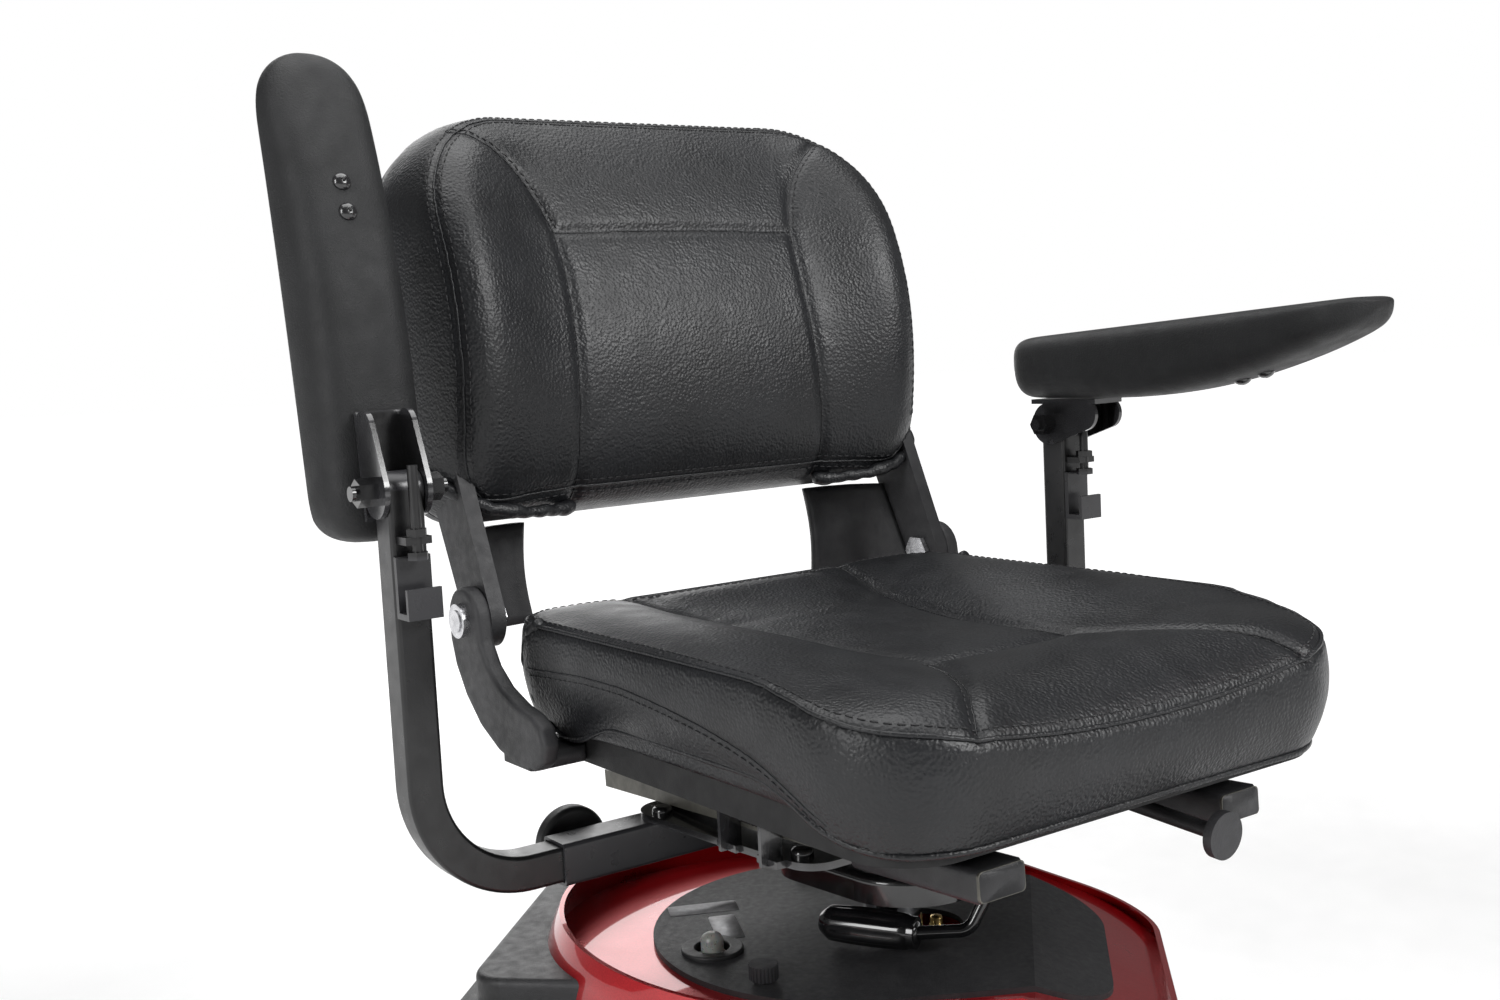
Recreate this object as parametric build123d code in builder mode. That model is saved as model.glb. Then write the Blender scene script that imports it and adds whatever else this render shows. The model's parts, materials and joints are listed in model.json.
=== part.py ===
from build123d import *
import os
from math import cos, radians, sin

os.makedirs("parts", exist_ok=True)

# Frame: the origin is on the floor under the seat post, +Z is up, the front of the scooter
# is towards -Y and the rider's left towards +X. Millimetres and degrees.
# The seat and everything on its swivel is drawn facing forward, then turned by SEAT_TURN.
SEAT_TURN = -45.0

# Seat post, its socket and the swivel stack (heights above the floor)
POST_R = 21.0
POST_WALL = 3.0
POST_BOTTOM = 190.0
POST_TOP = 418.0
SOCKET_R = 26.0
SOCKET_TOP = 345.0
FLANGE_R = 40.0
HEAD_BOTTOM = 394.0
HEAD_PLATE_BOTTOM = 406.0
HEAD_TOP = 426.0
RECEIVER_Y = 112.0
RECEIVER_Z = 437.0
RECEIVER_SIZE = 30.0
RECEIVER_WALL = 2.2
RECEIVER_HALF = 211.0
SWIVEL_PLATE_T = 5.0
RUN_GAP = 0.05

# Slide rails, tilted up towards the front
RAIL_X = 105.0
RAIL_TILT = 3.0
RAIL_START_Y = 130.0
RAIL_BASE_Z = RECEIVER_Z + RECEIVER_SIZE / 2 + SWIVEL_PLATE_T + 0.3
LOWER_RAIL = (22.0, 10.0)
UPPER_RAIL = (32.0, 14.0)
RAIL_REAR = -62.0
RAIL_FRONT = 325.0

# Seat and backrest
SEAT_HALF = 208.0
SEAT_FRONT = -246.0
SEAT_REAR = 184.0
SEAT_UNDER = 526.0
SEAT_TOP = 600.0
HINGE_Y = 190.0
HINGE_Z = 602.0
ARM_IN_X = 208.5
ARM_T = 12.0
BACK_RECLINE = 9.7
BACK_FACE_Y = 218.0
BACK_BOTTOM = 668.0
BACK_HALF = 238.0
BACK_HEIGHT = 322.0
BACK_PAD = 44.0
BACK_CROWN = 34.0
BACK_BOLSTER = 54.0
BACK_SHELL = 18.0

# Armrests
ARM_X = 308.0
STEM = 25.0
STEM_BEND = 75.0
KNOB_X = 181.0
ARM_PIVOT_Z = 708.0
PAD_WIDTH = 70.0
PAD_REAR = 147.0
PAD_TIP = -196.0
RAISED = -95.0

# Body shell and its top plate
TOP_Z = 370.0
PLATE_T = 4.0
SHELL_T = 4.0

# Rear wheels, front wheel, steering
REAR_R = 127.0
REAR_W = 75.0
REAR_X = 225.0
REAR_Y = 90.0
FRONT_R = 115.0
FRONT_W = 65.0
FRONT_Y = -760.0
STEER_Y = -735.0
STEER_Z = 300.0
STEER_RAKE = 12.0
STEM_R = 14.0
AXLE_R = 10.0
TILT_AT = 95.0
CONSOLE_AT = 552.0

# Deck
DECK_Z = 110.0
DECK_T = 18.0
DECK_HALF = 200.0
DECK_REAR = -208.0
DECK_FRONT = -560.0

SEAT_LEFT = 1
SEAT_RIGHT = -1

RAIL = Plane(
    origin=(0, RAIL_START_Y, RAIL_BASE_Z),
    x_dir=(1, 0, 0),
    z_dir=(0, -cos(radians(RAIL_TILT)), sin(radians(RAIL_TILT))),
)
BACK = Plane(
    origin=(0, BACK_FACE_Y, BACK_BOTTOM),
    x_dir=(1, 0, 0),
    z_dir=(0, -cos(radians(BACK_RECLINE)), sin(radians(BACK_RECLINE))),
)
STEER = Plane(
    origin=(0, STEER_Y, STEER_Z),
    x_dir=(1, 0, 0),
    z_dir=(0, sin(radians(STEER_RAKE)), cos(radians(STEER_RAKE))),
)


def save(name, label, turn=0.0):
    """Label a finished piece and write it, turned with the seat where it belongs to it."""
    name.part.label = label
    placed = name.part.rotate(Axis.Z, turn)
    placed.label = label
    export_step(placed, f"parts/{label}.step")


def steer_plane(height, x=0.0, back=0.0):
    """A plane square to the steering axis, at a height along it."""
    return Plane(origin=STEER.from_local_coords((x, back, height)), x_dir=(1, 0, 0), z_dir=STEER.z_dir)


# ---------------------------------------------------------------- frame
SUBFRAME_IN = 62.0
SUBFRAME_BAR = 12.0
with BuildPart() as main_frame:
    # Spine with two outriggers under the deck
    with BuildSketch(Plane.XY.offset(70)):
        with Locations((0, -277.5)):
            Rectangle(70, 615)
    extrude(amount=40)
    with BuildSketch(Plane.XY.offset(104)):
        with Locations((0, -500), (0, -250)):
            Rectangle(360, 40)
    extrude(amount=6)
    # Neck rising over the front wheel to the head tube
    with BuildLine() as neck_path:
        FilletPolyline(
            (0, -560, 90), (0, -580, 90), (0, -600, 165), (0, -636, 250), (0, -690, 298), (0, -733, 306),
            radius=[9, 40, 40, 18],
        )
    with BuildSketch(Plane(origin=(0, -560, 90), x_dir=(1, 0, 0), z_dir=(0, -1, 0))):
        Rectangle(44, 32)
    sweep(path=neck_path.wire())
    with BuildSketch(steer_plane(-32)):
        Circle(26)
    extrude(amount=66)
    with BuildSketch(steer_plane(-33)):
        Circle(STEM_R + RUN_GAP)
    extrude(amount=68, mode=Mode.SUBTRACT)
    # Rear cradle that carries the drive unit, with saddles under the axle tubes
    with BuildSketch(Plane.XY.offset(62)):
        with Locations((0, 110)):
            Rectangle(2 * (SUBFRAME_IN + SUBFRAME_BAR), 300)
            Rectangle(2 * SUBFRAME_IN, 276, mode=Mode.SUBTRACT)
        with Locations((0, -12)):
            Rectangle(2 * SUBFRAME_IN, 84)
    extrude(amount=38)
    with BuildSketch(Plane.XY.offset(100)):
        for side in (SEAT_LEFT, SEAT_RIGHT):
            with Locations((side * (SUBFRAME_IN + SUBFRAME_BAR / 2), REAR_Y)):
                Rectangle(SUBFRAME_BAR, 26)
    extrude(amount=3)
    # Battery tray
    with BuildSketch(Plane.XY.offset(DECK_Z)):
        with Locations((0, -62)):
            RectangleRounded(250, 190, 8)
    extrude(amount=5)
    with BuildSketch(Plane.XY.offset(DECK_Z + 5)):
        with Locations((0, -62)):
            RectangleRounded(250, 190, 8)
            RectangleRounded(244, 184, 5, mode=Mode.SUBTRACT)
    extrude(amount=14)
    # Seat post socket with its flange
    with BuildSketch(Plane.XY.offset(DECK_Z - 20)):
        Circle(SOCKET_R)
    extrude(amount=SOCKET_TOP - DECK_Z + 20)
    with BuildSketch(Plane.XY.offset(SOCKET_TOP)):
        Circle(FLANGE_R)
    extrude(amount=7)
    with BuildSketch(Plane.XY.offset(DECK_Z + 40)):
        Circle(POST_R + RUN_GAP)
    extrude(amount=SOCKET_TOP, mode=Mode.SUBTRACT)
    # Straps that carry the rear bumper
    with BuildSketch(Plane.XY.offset(66)):
        with Locations((-40, 263), (40, 263)):
            Rectangle(24, 6)
    extrude(amount=106)
save(main_frame, "main_frame")

with BuildPart() as batteries:
    with BuildSketch(Plane.XY.offset(DECK_Z + 5)):
        with Locations((-74, -62), (74, -62)):
            RectangleRounded(77, 180, 4)
    extrude(amount=160)
    with BuildSketch(Plane.XY.offset(DECK_Z + 165)):
        with Locations((-74, -62), (74, -62)):
            Rectangle(30, 90)
            with GridLocations(1, 136, 1, 2):
                Rectangle(16, 12)
    extrude(amount=5)
save(batteries, "batteries")

with BuildPart() as transaxle:
    with BuildSketch(Plane.YZ.offset(-50)):
        with Locations((REAR_Y, REAR_R)):
            Circle(52)
    extrude(amount=100)
    fillet(transaxle.edges().filter_by(GeomType.CIRCLE), 8)
    with BuildSketch(Plane.YZ.offset(-150)):
        with Locations((REAR_Y, REAR_R)):
            Circle(24)
    extrude(amount=300)
    for start in (-151, 50):
        with BuildSketch(Plane.YZ.offset(start)):
            with Locations((REAR_Y, REAR_R)):
                Circle(AXLE_R + RUN_GAP)
        extrude(amount=101, mode=Mode.SUBTRACT)
    with BuildSketch(Plane.XY.offset(165)):
        with Locations((-25, REAR_Y), (25, REAR_Y)):
            Rectangle(8, 50)
    extrude(amount=25)
save(transaxle, "transaxle")

with BuildPart() as drive_motor:
    with BuildSketch(Plane.XZ.offset(-(REAR_Y + 52))):
        with Locations((0, REAR_R)):
            Circle(42)
    extrude(amount=-78)
    fillet(drive_motor.edges().group_by(Axis.Y)[-1], 4)
    with BuildSketch(Plane.XZ.offset(-(REAR_Y + 130))):
        with Locations((0, REAR_R)):
            Circle(28)
    extrude(amount=-6)
save(drive_motor, "drive_motor")

with BuildPart() as controller_box:
    with BuildSketch(Plane.XY.offset(190)):
        with Locations((0, REAR_Y)):
            RectangleRounded(120, 90, 5)
    extrude(amount=34)
    with BuildSketch(Plane.XY.offset(224)):
        with Locations((0, REAR_Y)):
            with GridLocations(1, 12, 1, 6):
                Rectangle(110, 3)
    extrude(amount=6)
save(controller_box, "controller_box")

# ---------------------------------------------------------------- body shell
def body_outline(half, rear, front, front_half, corner):
    """Plan of the body: round at the rear, drawn in and rounded at the front."""
    with Locations((0, rear - half)):
        Circle(half)
    with Locations((corner - front_half, front + corner), (front_half - corner, front + corner)):
        Circle(corner)
    make_hull()


SHELL_SECTIONS = (
    (150, 158, 236, -206, 140),
    (250, 162, 252, -202, 136),
    (345, 164, 258, -190, 128),
    (396, 158, 240, -172, 116),
)


with BuildPart() as shell_form:
    for height, half, rear, front, front_half in SHELL_SECTIONS:
        with BuildSketch(Plane.XY.offset(height)):
            body_outline(half, rear, front, front_half, 60)
    loft()

with BuildPart() as shell_core:
    for height, half, rear, front, front_half in SHELL_SECTIONS:
        past_end = {150: -1, 396: 1}.get(height, 0)
        with BuildSketch(Plane.XY.offset(height + past_end)):
            body_outline(half - SHELL_T, rear - SHELL_T, front + SHELL_T, front_half - SHELL_T, 56)
    loft()

PLATE_OUTLINE = (139, 174, -150, 104, 55)
LEDGE_OUTLINE = (125, 160, -136, 90, 45)
POST_HOLE = (100, 60)
SLOPE_FROM = -98
SLOPE_TO = (-215, 327)


def top_band(low, high):
    """Side view of a level band that falls away at the front, between two depths below the top."""
    Polygon(
        (300, TOP_Z - high), (SLOPE_FROM, TOP_Z - high), (SLOPE_TO[0], SLOPE_TO[1] - high),
        (SLOPE_TO[0], SLOPE_TO[1] - low), (SLOPE_FROM, TOP_Z - low), (300, TOP_Z - low),
        align=None,
    )


with BuildPart() as shell_ledge:
    add(shell_core.part)
    with BuildSketch(Plane.YZ):
        top_band(PLATE_T + 4, PLATE_T)
    extrude(amount=300, both=True, mode=Mode.INTERSECT)
    with BuildSketch(Plane.XY.offset(300)):
        body_outline(*LEDGE_OUTLINE)
    extrude(amount=120, mode=Mode.SUBTRACT)

FENDER_R = 146.0
FENDER_X = (150.0, 268.0)
with BuildPart() as rear_shroud:
    add(shell_form.part)
    for start in (FENDER_X[0], -FENDER_X[1]):
        with BuildSketch(Plane.YZ.offset(start)):
            with Locations((REAR_Y, REAR_R)):
                Circle(FENDER_R)
                Circle(FENDER_R - SHELL_T, mode=Mode.SUBTRACT)
            with Locations((REAR_Y, REAR_R - 70)):
                Rectangle(320, 200, mode=Mode.SUBTRACT)
        extrude(amount=FENDER_X[1] - FENDER_X[0])
    add(shell_core.part, mode=Mode.SUBTRACT)
    with BuildSketch(Plane.YZ):
        Polygon(
            (300, 397), (240, 393), (70, 373), (-90, 372), (-215, 333), (-215, 420), (300, 420),
            align=None,
        )
    extrude(amount=300, both=True, mode=Mode.SUBTRACT)
    add(shell_ledge.part)
save(rear_shroud, "rear_shroud")

BREAKER_AT = (-58, 122)
THUMBSCREW_X = 108
THUMBSCREW_Y = 78
with BuildPart() as shroud_top_plate:
    with BuildSketch(Plane.XY.offset(300)):
        body_outline(*PLATE_OUTLINE)
        SlotOverall(*POST_HOLE, rotation=90, mode=Mode.SUBTRACT)
        with Locations(BREAKER_AT):
            Circle(15.2, mode=Mode.SUBTRACT)
        with Locations((-THUMBSCREW_X, THUMBSCREW_Y), (THUMBSCREW_X, THUMBSCREW_Y)):
            Circle(3.3, mode=Mode.SUBTRACT)
    extrude(amount=100)
    with BuildSketch(Plane.YZ):
        top_band(PLATE_T, 0)
    extrude(amount=300, both=True, mode=Mode.INTERSECT)
save(shroud_top_plate, "shroud_top_plate")


def make_thumbscrew(side):
    """Knurled hand screw standing in the top plate."""
    with BuildPart() as screw:
        with BuildSketch(Plane.XY.offset(TOP_Z)):
            with Locations((side * THUMBSCREW_X, THUMBSCREW_Y)):
                Circle(7)
        extrude(amount=2)
        with BuildSketch(Plane.XY.offset(TOP_Z + 2)):
            with Locations((side * THUMBSCREW_X, THUMBSCREW_Y)):
                Circle(10)
                with PolarLocations(10.2, 24):
                    Circle(0.9, mode=Mode.SUBTRACT)
        extrude(amount=10)
        with BuildSketch(Plane.XY.offset(TOP_Z - 20)):
            with Locations((side * THUMBSCREW_X, THUMBSCREW_Y)):
                Circle(3)
        extrude(amount=20)
    return screw


save(make_thumbscrew(SEAT_LEFT), "thumbscrew_left")
save(make_thumbscrew(SEAT_RIGHT), "thumbscrew_right")

with BuildPart() as breaker_collar:
    with BuildSketch(Plane.XY.offset(TOP_Z)):
        with Locations(BREAKER_AT):
            Circle(22)
            Circle(12, mode=Mode.SUBTRACT)
    extrude(amount=3)
    fillet(breaker_collar.edges().group_by(Axis.Z)[-1], 1.4)
    with BuildSketch(Plane.XY.offset(TOP_Z - 16)):
        with Locations(BREAKER_AT):
            Circle(15)
            Circle(12, mode=Mode.SUBTRACT)
    extrude(amount=16)
save(breaker_collar, "breaker_collar")

with BuildPart() as breaker_button:
    with BuildSketch(Plane.XY.offset(TOP_Z - 12)):
        with Locations(BREAKER_AT):
            Circle(11.5)
    extrude(amount=9)
    with BuildSketch(Plane.XY.offset(TOP_Z - 3)):
        with Locations(BREAKER_AT):
            Circle(8)
    extrude(amount=16)
    fillet(breaker_button.edges().group_by(Axis.Z)[-1], 6)
save(breaker_button, "breaker_button")

BUMPER_REAR = 302.0
with BuildPart() as rear_bumper:
    with BuildSketch(Plane.XY.offset(172)):
        with Locations((0, BUMPER_REAR - 60)):
            RectangleRounded(300, 120, 34)
    extrude(amount=166)
    with BuildSketch(Plane.XY.offset(338)):
        with Locations((0, BUMPER_REAR - 80)):
            RectangleRounded(236, 120, 24)
    extrude(amount=32)
    fillet(rear_bumper.edges().group_by(Axis.Z)[-1], 5)
    add(shell_form.part, mode=Mode.SUBTRACT)
save(rear_bumper, "rear_bumper")

with BuildPart() as rear_reflectors:
    with BuildSketch(Plane.XZ.offset(-BUMPER_REAR)):
        with Locations((-75, 300), (75, 300)):
            RectangleRounded(70, 26, 5)
    extrude(amount=-4)
save(rear_reflectors, "rear_reflectors")

# ---------------------------------------------------------------- deck
DECK_OUTLINE = (
    (-DECK_HALF, DECK_REAR), (DECK_HALF, DECK_REAR), (DECK_HALF, -470),
    (105, DECK_FRONT), (-105, DECK_FRONT), (-DECK_HALF, -470),
)
with BuildPart() as floor_pan:
    with BuildSketch(Plane.XY.offset(DECK_Z)):
        Polygon(*DECK_OUTLINE, align=None)
    extrude(amount=DECK_T)
    fillet(floor_pan.edges().filter_by(Axis.Z), 26)
    fillet(floor_pan.edges().group_by(Axis.Z)[-1], 5)
save(floor_pan, "floor_pan")

with BuildPart() as floor_mat:
    with BuildSketch(Plane.XY.offset(DECK_Z + DECK_T)):
        Polygon(*DECK_OUTLINE, align=None)
        offset(amount=-16)
    extrude(amount=2)
    fillet(floor_mat.edges().filter_by(Axis.Z), 14)
    with BuildSketch(Plane.XY.offset(DECK_Z + DECK_T + 2)):
        with Locations((0, -345)):
            with GridLocations(16, 1, 21, 1):
                SlotOverall(190, 7, rotation=90)
    extrude(amount=1.5)
save(floor_mat, "floor_mat")


# ---------------------------------------------------------------- wheels
def wheel_plane(x, y, z):
    """Plane through a wheel's centre with its local x along the axle."""
    return Plane(origin=(x, y, z), x_dir=(1, 0, 0), z_dir=(0, -1, 0))


def make_tyre(x, y, radius, rim_radius, width):
    with BuildPart() as tyre:
        with BuildSketch(wheel_plane(x, y, radius)):
            with Locations((0, (radius + rim_radius) / 2)):
                RectangleRounded(width, radius - rim_radius, 17)
        revolve(axis=Axis((x, y, radius), (1, 0, 0)))
    return tyre


def make_rim(x, y, radius, rim_radius, width, bore, outward, spokes=5):
    """Barrel, dished disc with round windows, and hub."""
    with BuildPart() as rim:
        with BuildSketch(wheel_plane(x, y, radius)):
            with Locations((0, rim_radius - 4)):
                Rectangle(width - 8, 8)
            with Locations((outward * width * 0.22, (rim_radius + bore) / 2)):
                Rectangle(8, rim_radius - bore - 4)
            with Locations((outward * width * 0.05, bore + 6)):
                Rectangle(width * 0.9, 12)
        revolve(axis=Axis((x, y, radius), (1, 0, 0)))
        with BuildSketch(Plane.YZ.offset(x - width)):
            with Locations((y, radius)):
                with PolarLocations((rim_radius + bore + 8) / 2, spokes):
                    Circle((rim_radius - bore) * 0.2)
        extrude(amount=2 * width, mode=Mode.SUBTRACT)
    return rim


REAR_RIM_R = 80.0
for side, word in ((SEAT_LEFT, "left"), (SEAT_RIGHT, "right")):
    save(make_tyre(side * REAR_X, REAR_Y, REAR_R, REAR_RIM_R, REAR_W), f"rear_tyre_{word}")
    plain_rim = make_rim(side * REAR_X, REAR_Y, REAR_R, REAR_RIM_R, REAR_W, AXLE_R, side)
    with BuildPart() as rear_rim:
        add(plain_rim.part)
        with BuildSketch(Plane.YZ.offset(min(side * 52, side * 264))):
            with Locations((REAR_Y, REAR_R)):
                Circle(AXLE_R)
        extrude(amount=212)
        with BuildSketch(Plane.YZ.offset(side * 264 - 4.5)):
            with Locations((REAR_Y, REAR_R)):
                RegularPolygon(14, 6)
        extrude(amount=9)
    save(rear_rim, f"rear_rim_{word}")

FRONT_RIM_R = 72.0
save(make_tyre(0, FRONT_Y, FRONT_R, FRONT_RIM_R, FRONT_W), "front_tyre")
save(make_rim(0, FRONT_Y, FRONT_R, FRONT_RIM_R, FRONT_W, 8 + RUN_GAP, 1), "front_rim")

# ---------------------------------------------------------------- steering
FORK_IN = 44.0
CROWN_Z = 250.0
with BuildPart() as front_fork:
    for start in (FORK_IN, -FORK_IN - 8):
        with BuildSketch(Plane.YZ.offset(start)):
            with Locations((FRONT_Y, FRONT_R)):
                Circle(16)
            with Locations((-743, CROWN_Z + 2)):
                Circle(14)
            make_hull()
        extrude(amount=8)
    with BuildSketch(Plane.XY.offset(CROWN_Z)):
        with Locations((0, -744)):
            RectangleRounded(2 * FORK_IN + 16, 36, 6)
    extrude(amount=12)
    with BuildSketch(steer_plane(-45)):
        Circle(STEM_R)
    extrude(amount=45 + 72)
    with BuildSketch(Plane.YZ.offset(-FORK_IN - 20)):
        with Locations((FRONT_Y, FRONT_R)):
            Circle(8)
    extrude(amount=2 * FORK_IN + 40)
    with BuildSketch(Plane.YZ.offset(-FORK_IN - 17)):
        with Locations((FRONT_Y, FRONT_R)):
            RegularPolygon(13, 6)
    extrude(amount=8)
    with BuildSketch(Plane.YZ.offset(FORK_IN + 9)):
        with Locations((FRONT_Y, FRONT_R)):
            RegularPolygon(13, 6)
    extrude(amount=8)
save(front_fork, "front_fork")

FRONT_FENDER_R = 135.0
with BuildPart() as front_fender:
    with BuildSketch(Plane.YZ.offset(-40)):
        with Locations((FRONT_Y, FRONT_R)):
            Circle(FRONT_FENDER_R)
            Circle(FRONT_FENDER_R - 4, mode=Mode.SUBTRACT)
        with Locations(Location((FRONT_Y, FRONT_R), 28)):
            with Locations((0, -FRONT_FENDER_R)):
                Rectangle(3 * FRONT_FENDER_R, 2 * FRONT_FENDER_R, mode=Mode.SUBTRACT)
    extrude(amount=80)
save(front_fender, "front_fender")

# ---------------------------------------------------------------- tiller
TILT_PLANE = Plane(origin=STEER.from_local_coords((0, 0, TILT_AT)), x_dir=(0, 1, 0), z_dir=(1, 0, 0))
PIVOT_R = 6.0
with BuildPart() as tiller_yoke:
    with BuildSketch(steer_plane(38)):
        Circle(25)
        Circle(STEM_R, mode=Mode.SUBTRACT)
    extrude(amount=34)
    with BuildSketch(steer_plane(72)):
        RectangleRounded(64, 40, 6)
    extrude(amount=6)
    for middle in (-28, 28):
        with BuildSketch(steer_plane(72)):
            with Locations((middle, 0)):
                Rectangle(8, 40)
        extrude(amount=40)
    with BuildSketch(TILT_PLANE.offset(-38)):
        Circle(PIVOT_R)
    extrude(amount=92)
    with BuildSketch(TILT_PLANE.offset(-38)):
        RegularPolygon(11, 6)
    extrude(amount=6)
save(tiller_yoke, "tiller_yoke")

with BuildPart() as tiller_lock_knob:
    with BuildSketch(TILT_PLANE.offset(32.5)):
        Circle(12)
        Circle(PIVOT_R + RUN_GAP, mode=Mode.SUBTRACT)
    extrude(amount=6)
    with BuildSketch(TILT_PLANE.offset(38.5)):
        Circle(24)
        with PolarLocations(31, 7):
            Circle(10, mode=Mode.SUBTRACT)
        Circle(PIVOT_R + RUN_GAP, mode=Mode.SUBTRACT)
    extrude(amount=16)
save(tiller_lock_knob, "tiller_lock_knob")

COLUMN_R = 19.0
BASKET_BACK = -36.0
with BuildPart() as tiller_column:
    with BuildSketch(steer_plane(TILT_AT + 18)):
        Circle(COLUMN_R)
    extrude(amount=CONSOLE_AT - TILT_AT - 18)
    with BuildSketch(TILT_PLANE.offset(-23)):
        Circle(15)
    extrude(amount=46)
    with BuildSketch(steer_plane(TILT_AT)):
        Rectangle(46, 30)
    extrude(amount=26)
    with BuildSketch(TILT_PLANE.offset(-24)):
        Circle(PIVOT_R + RUN_GAP)
    extrude(amount=48, mode=Mode.SUBTRACT)
    # Basket hook plate
    with BuildSketch(steer_plane(430)):
        with Locations((0, BASKET_BACK / 2)):
            Rectangle(26, -BASKET_BACK)
    extrude(amount=60)
    with BuildSketch(steer_plane(396)):
        with Locations((0, BASKET_BACK - 2)):
            Rectangle(60, 4)
    extrude(amount=94)
save(tiller_column, "tiller_column")

COVER_FROM = 148.0
COVER_TO = 388.0
with BuildPart() as tiller_cover:
    with BuildSketch(steer_plane(COVER_FROM)):
        RectangleRounded(88, 76, 26)
    with BuildSketch(steer_plane(COVER_TO)):
        RectangleRounded(60, 52, 22)
    loft()
    with BuildSketch(steer_plane(COVER_FROM - 1)):
        Circle(COLUMN_R)
    extrude(amount=COVER_TO - COVER_FROM + 2, mode=Mode.SUBTRACT)
save(tiller_cover, "tiller_cover")

BAR_R = 11.0
BAR_AT = CONSOLE_AT + 26
PANEL_AT = CONSOLE_AT + 62
LAMP_PLANE = Plane(STEER.from_local_coords((0, -60, BAR_AT + 4)), x_dir=(1, 0, 0), z_dir=(0, 1, 0))
with BuildPart() as console:
    with BuildSketch(steer_plane(CONSOLE_AT)):
        RectangleRounded(150, 84, 30)
    with BuildSketch(steer_plane(PANEL_AT)):
        RectangleRounded(196, 104, 34)
    loft()
    with BuildSketch(Plane(STEER.from_local_coords((-120, 0, BAR_AT)), x_dir=(0, 1, 0), z_dir=(1, 0, 0))):
        Circle(BAR_R)
    extrude(amount=240, mode=Mode.SUBTRACT)
    # Round recess for the headlight and sockets for the dial, key and horn button
    with BuildSketch(LAMP_PLANE):
        Circle(22)
    extrude(amount=26, mode=Mode.SUBTRACT)
    with BuildSketch(steer_plane(PANEL_AT - 8)):
        with Locations((0, 10)):
            Circle(4 + RUN_GAP)
        with Locations((58, 12)):
            Circle(5 + RUN_GAP)
        with Locations((-58, 12)):
            Circle(8.3)
    extrude(amount=12, mode=Mode.SUBTRACT)
    with BuildSketch(steer_plane(PANEL_AT)):
        with Locations((0, -26)):
            RectangleRounded(84, 16, 4)
    extrude(amount=1.5)
save(console, "console")

with BuildPart() as headlight_lens:
    with BuildSketch(LAMP_PLANE.offset(3)):
        Circle(21.8)
    extrude(amount=20)
save(headlight_lens, "headlight_lens")

with BuildPart() as speed_dial:
    with BuildSketch(steer_plane(PANEL_AT - 8)):
        with Locations((0, 10)):
            Circle(4)
    extrude(amount=9)
    with BuildSketch(steer_plane(PANEL_AT + 0.5)):
        with Locations((0, 10)):
            Circle(18)
            with PolarLocations(19, 14):
                Circle(2, mode=Mode.SUBTRACT)
    extrude(amount=13)
    with BuildSketch(steer_plane(PANEL_AT + 13.5)):
        with Locations((0, 20)):
            Rectangle(2, 12)
    extrude(amount=0.8)
save(speed_dial, "speed_dial")

with BuildPart() as ignition_key:
    with BuildSketch(steer_plane(PANEL_AT - 7)):
        with Locations((58, 12)):
            Circle(5)
    extrude(amount=9)
    with BuildSketch(steer_plane(PANEL_AT + 2)):
        with Locations((58, 12)):
            Rectangle(2, 8)
    extrude(amount=10)
    with BuildSketch(steer_plane(PANEL_AT + 12)):
        with Locations((58, 12)):
            RectangleRounded(4, 22, 1.9)
    extrude(amount=18)
save(ignition_key, "ignition_key")

with BuildPart() as horn_button:
    with BuildSketch(steer_plane(PANEL_AT - 5)):
        with Locations((-58, 12)):
            Circle(8)
    extrude(amount=9)
    fillet(horn_button.edges().group_by(Axis(STEER.origin, STEER.z_dir))[-1], 1.5)
save(horn_button, "horn_button")

BAR_BEND = 118.0
BAR_END = (246.0, 46.0)
with BuildPart() as handlebar:
    with BuildLine() as bar_path:
        FilletPolyline(
            STEER.from_local_coords((-BAR_END[0], BAR_END[1], BAR_AT)),
            STEER.from_local_coords((-BAR_BEND, 0, BAR_AT)),
            STEER.from_local_coords((BAR_BEND, 0, BAR_AT)),
            STEER.from_local_coords((BAR_END[0], BAR_END[1], BAR_AT)),
            radius=30,
        )
    with BuildSketch(Plane(bar_path.wire() @ 0, z_dir=bar_path.wire() % 0)):
        Circle(BAR_R)
    sweep(path=bar_path.wire())
save(handlebar, "handlebar")

GRIP_LENGTH = 108.0
with BuildPart() as handle_grips:
    for side in (SEAT_LEFT, SEAT_RIGHT):
        bar_tip = STEER.from_local_coords((side * BAR_END[0], BAR_END[1], BAR_AT))
        bar_knee = STEER.from_local_coords((side * BAR_BEND, 0, BAR_AT))
        with BuildSketch(Plane(bar_tip, z_dir=bar_knee - bar_tip)):
            Circle(16)
            Circle(BAR_R, mode=Mode.SUBTRACT)
        extrude(amount=GRIP_LENGTH)
        with BuildSketch(Plane(bar_tip, z_dir=bar_tip - bar_knee)):
            Circle(16)
        extrude(amount=6)
save(handle_grips, "handle_grips")

THROTTLE_BACK = 32.0
THROTTLE_AT = CONSOLE_AT - 14
with BuildPart() as throttle_lever:
    with BuildSketch(steer_plane(THROTTLE_AT)):
        with Locations((0, THROTTLE_BACK)):
            Circle(11)
        for side in (SEAT_LEFT, SEAT_RIGHT):
            with Locations((side * 128, THROTTLE_BACK + 28)):
                Circle(9)
        make_hull()
        with Locations((0, THROTTLE_BACK + 34)):
            Rectangle(190, 30, mode=Mode.SUBTRACT)
    extrude(amount=8)
    with BuildSketch(steer_plane(THROTTLE_AT + 8)):
        with Locations((0, THROTTLE_BACK)):
            Circle(5)
    extrude(amount=6)
save(throttle_lever, "throttle_lever")

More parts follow.
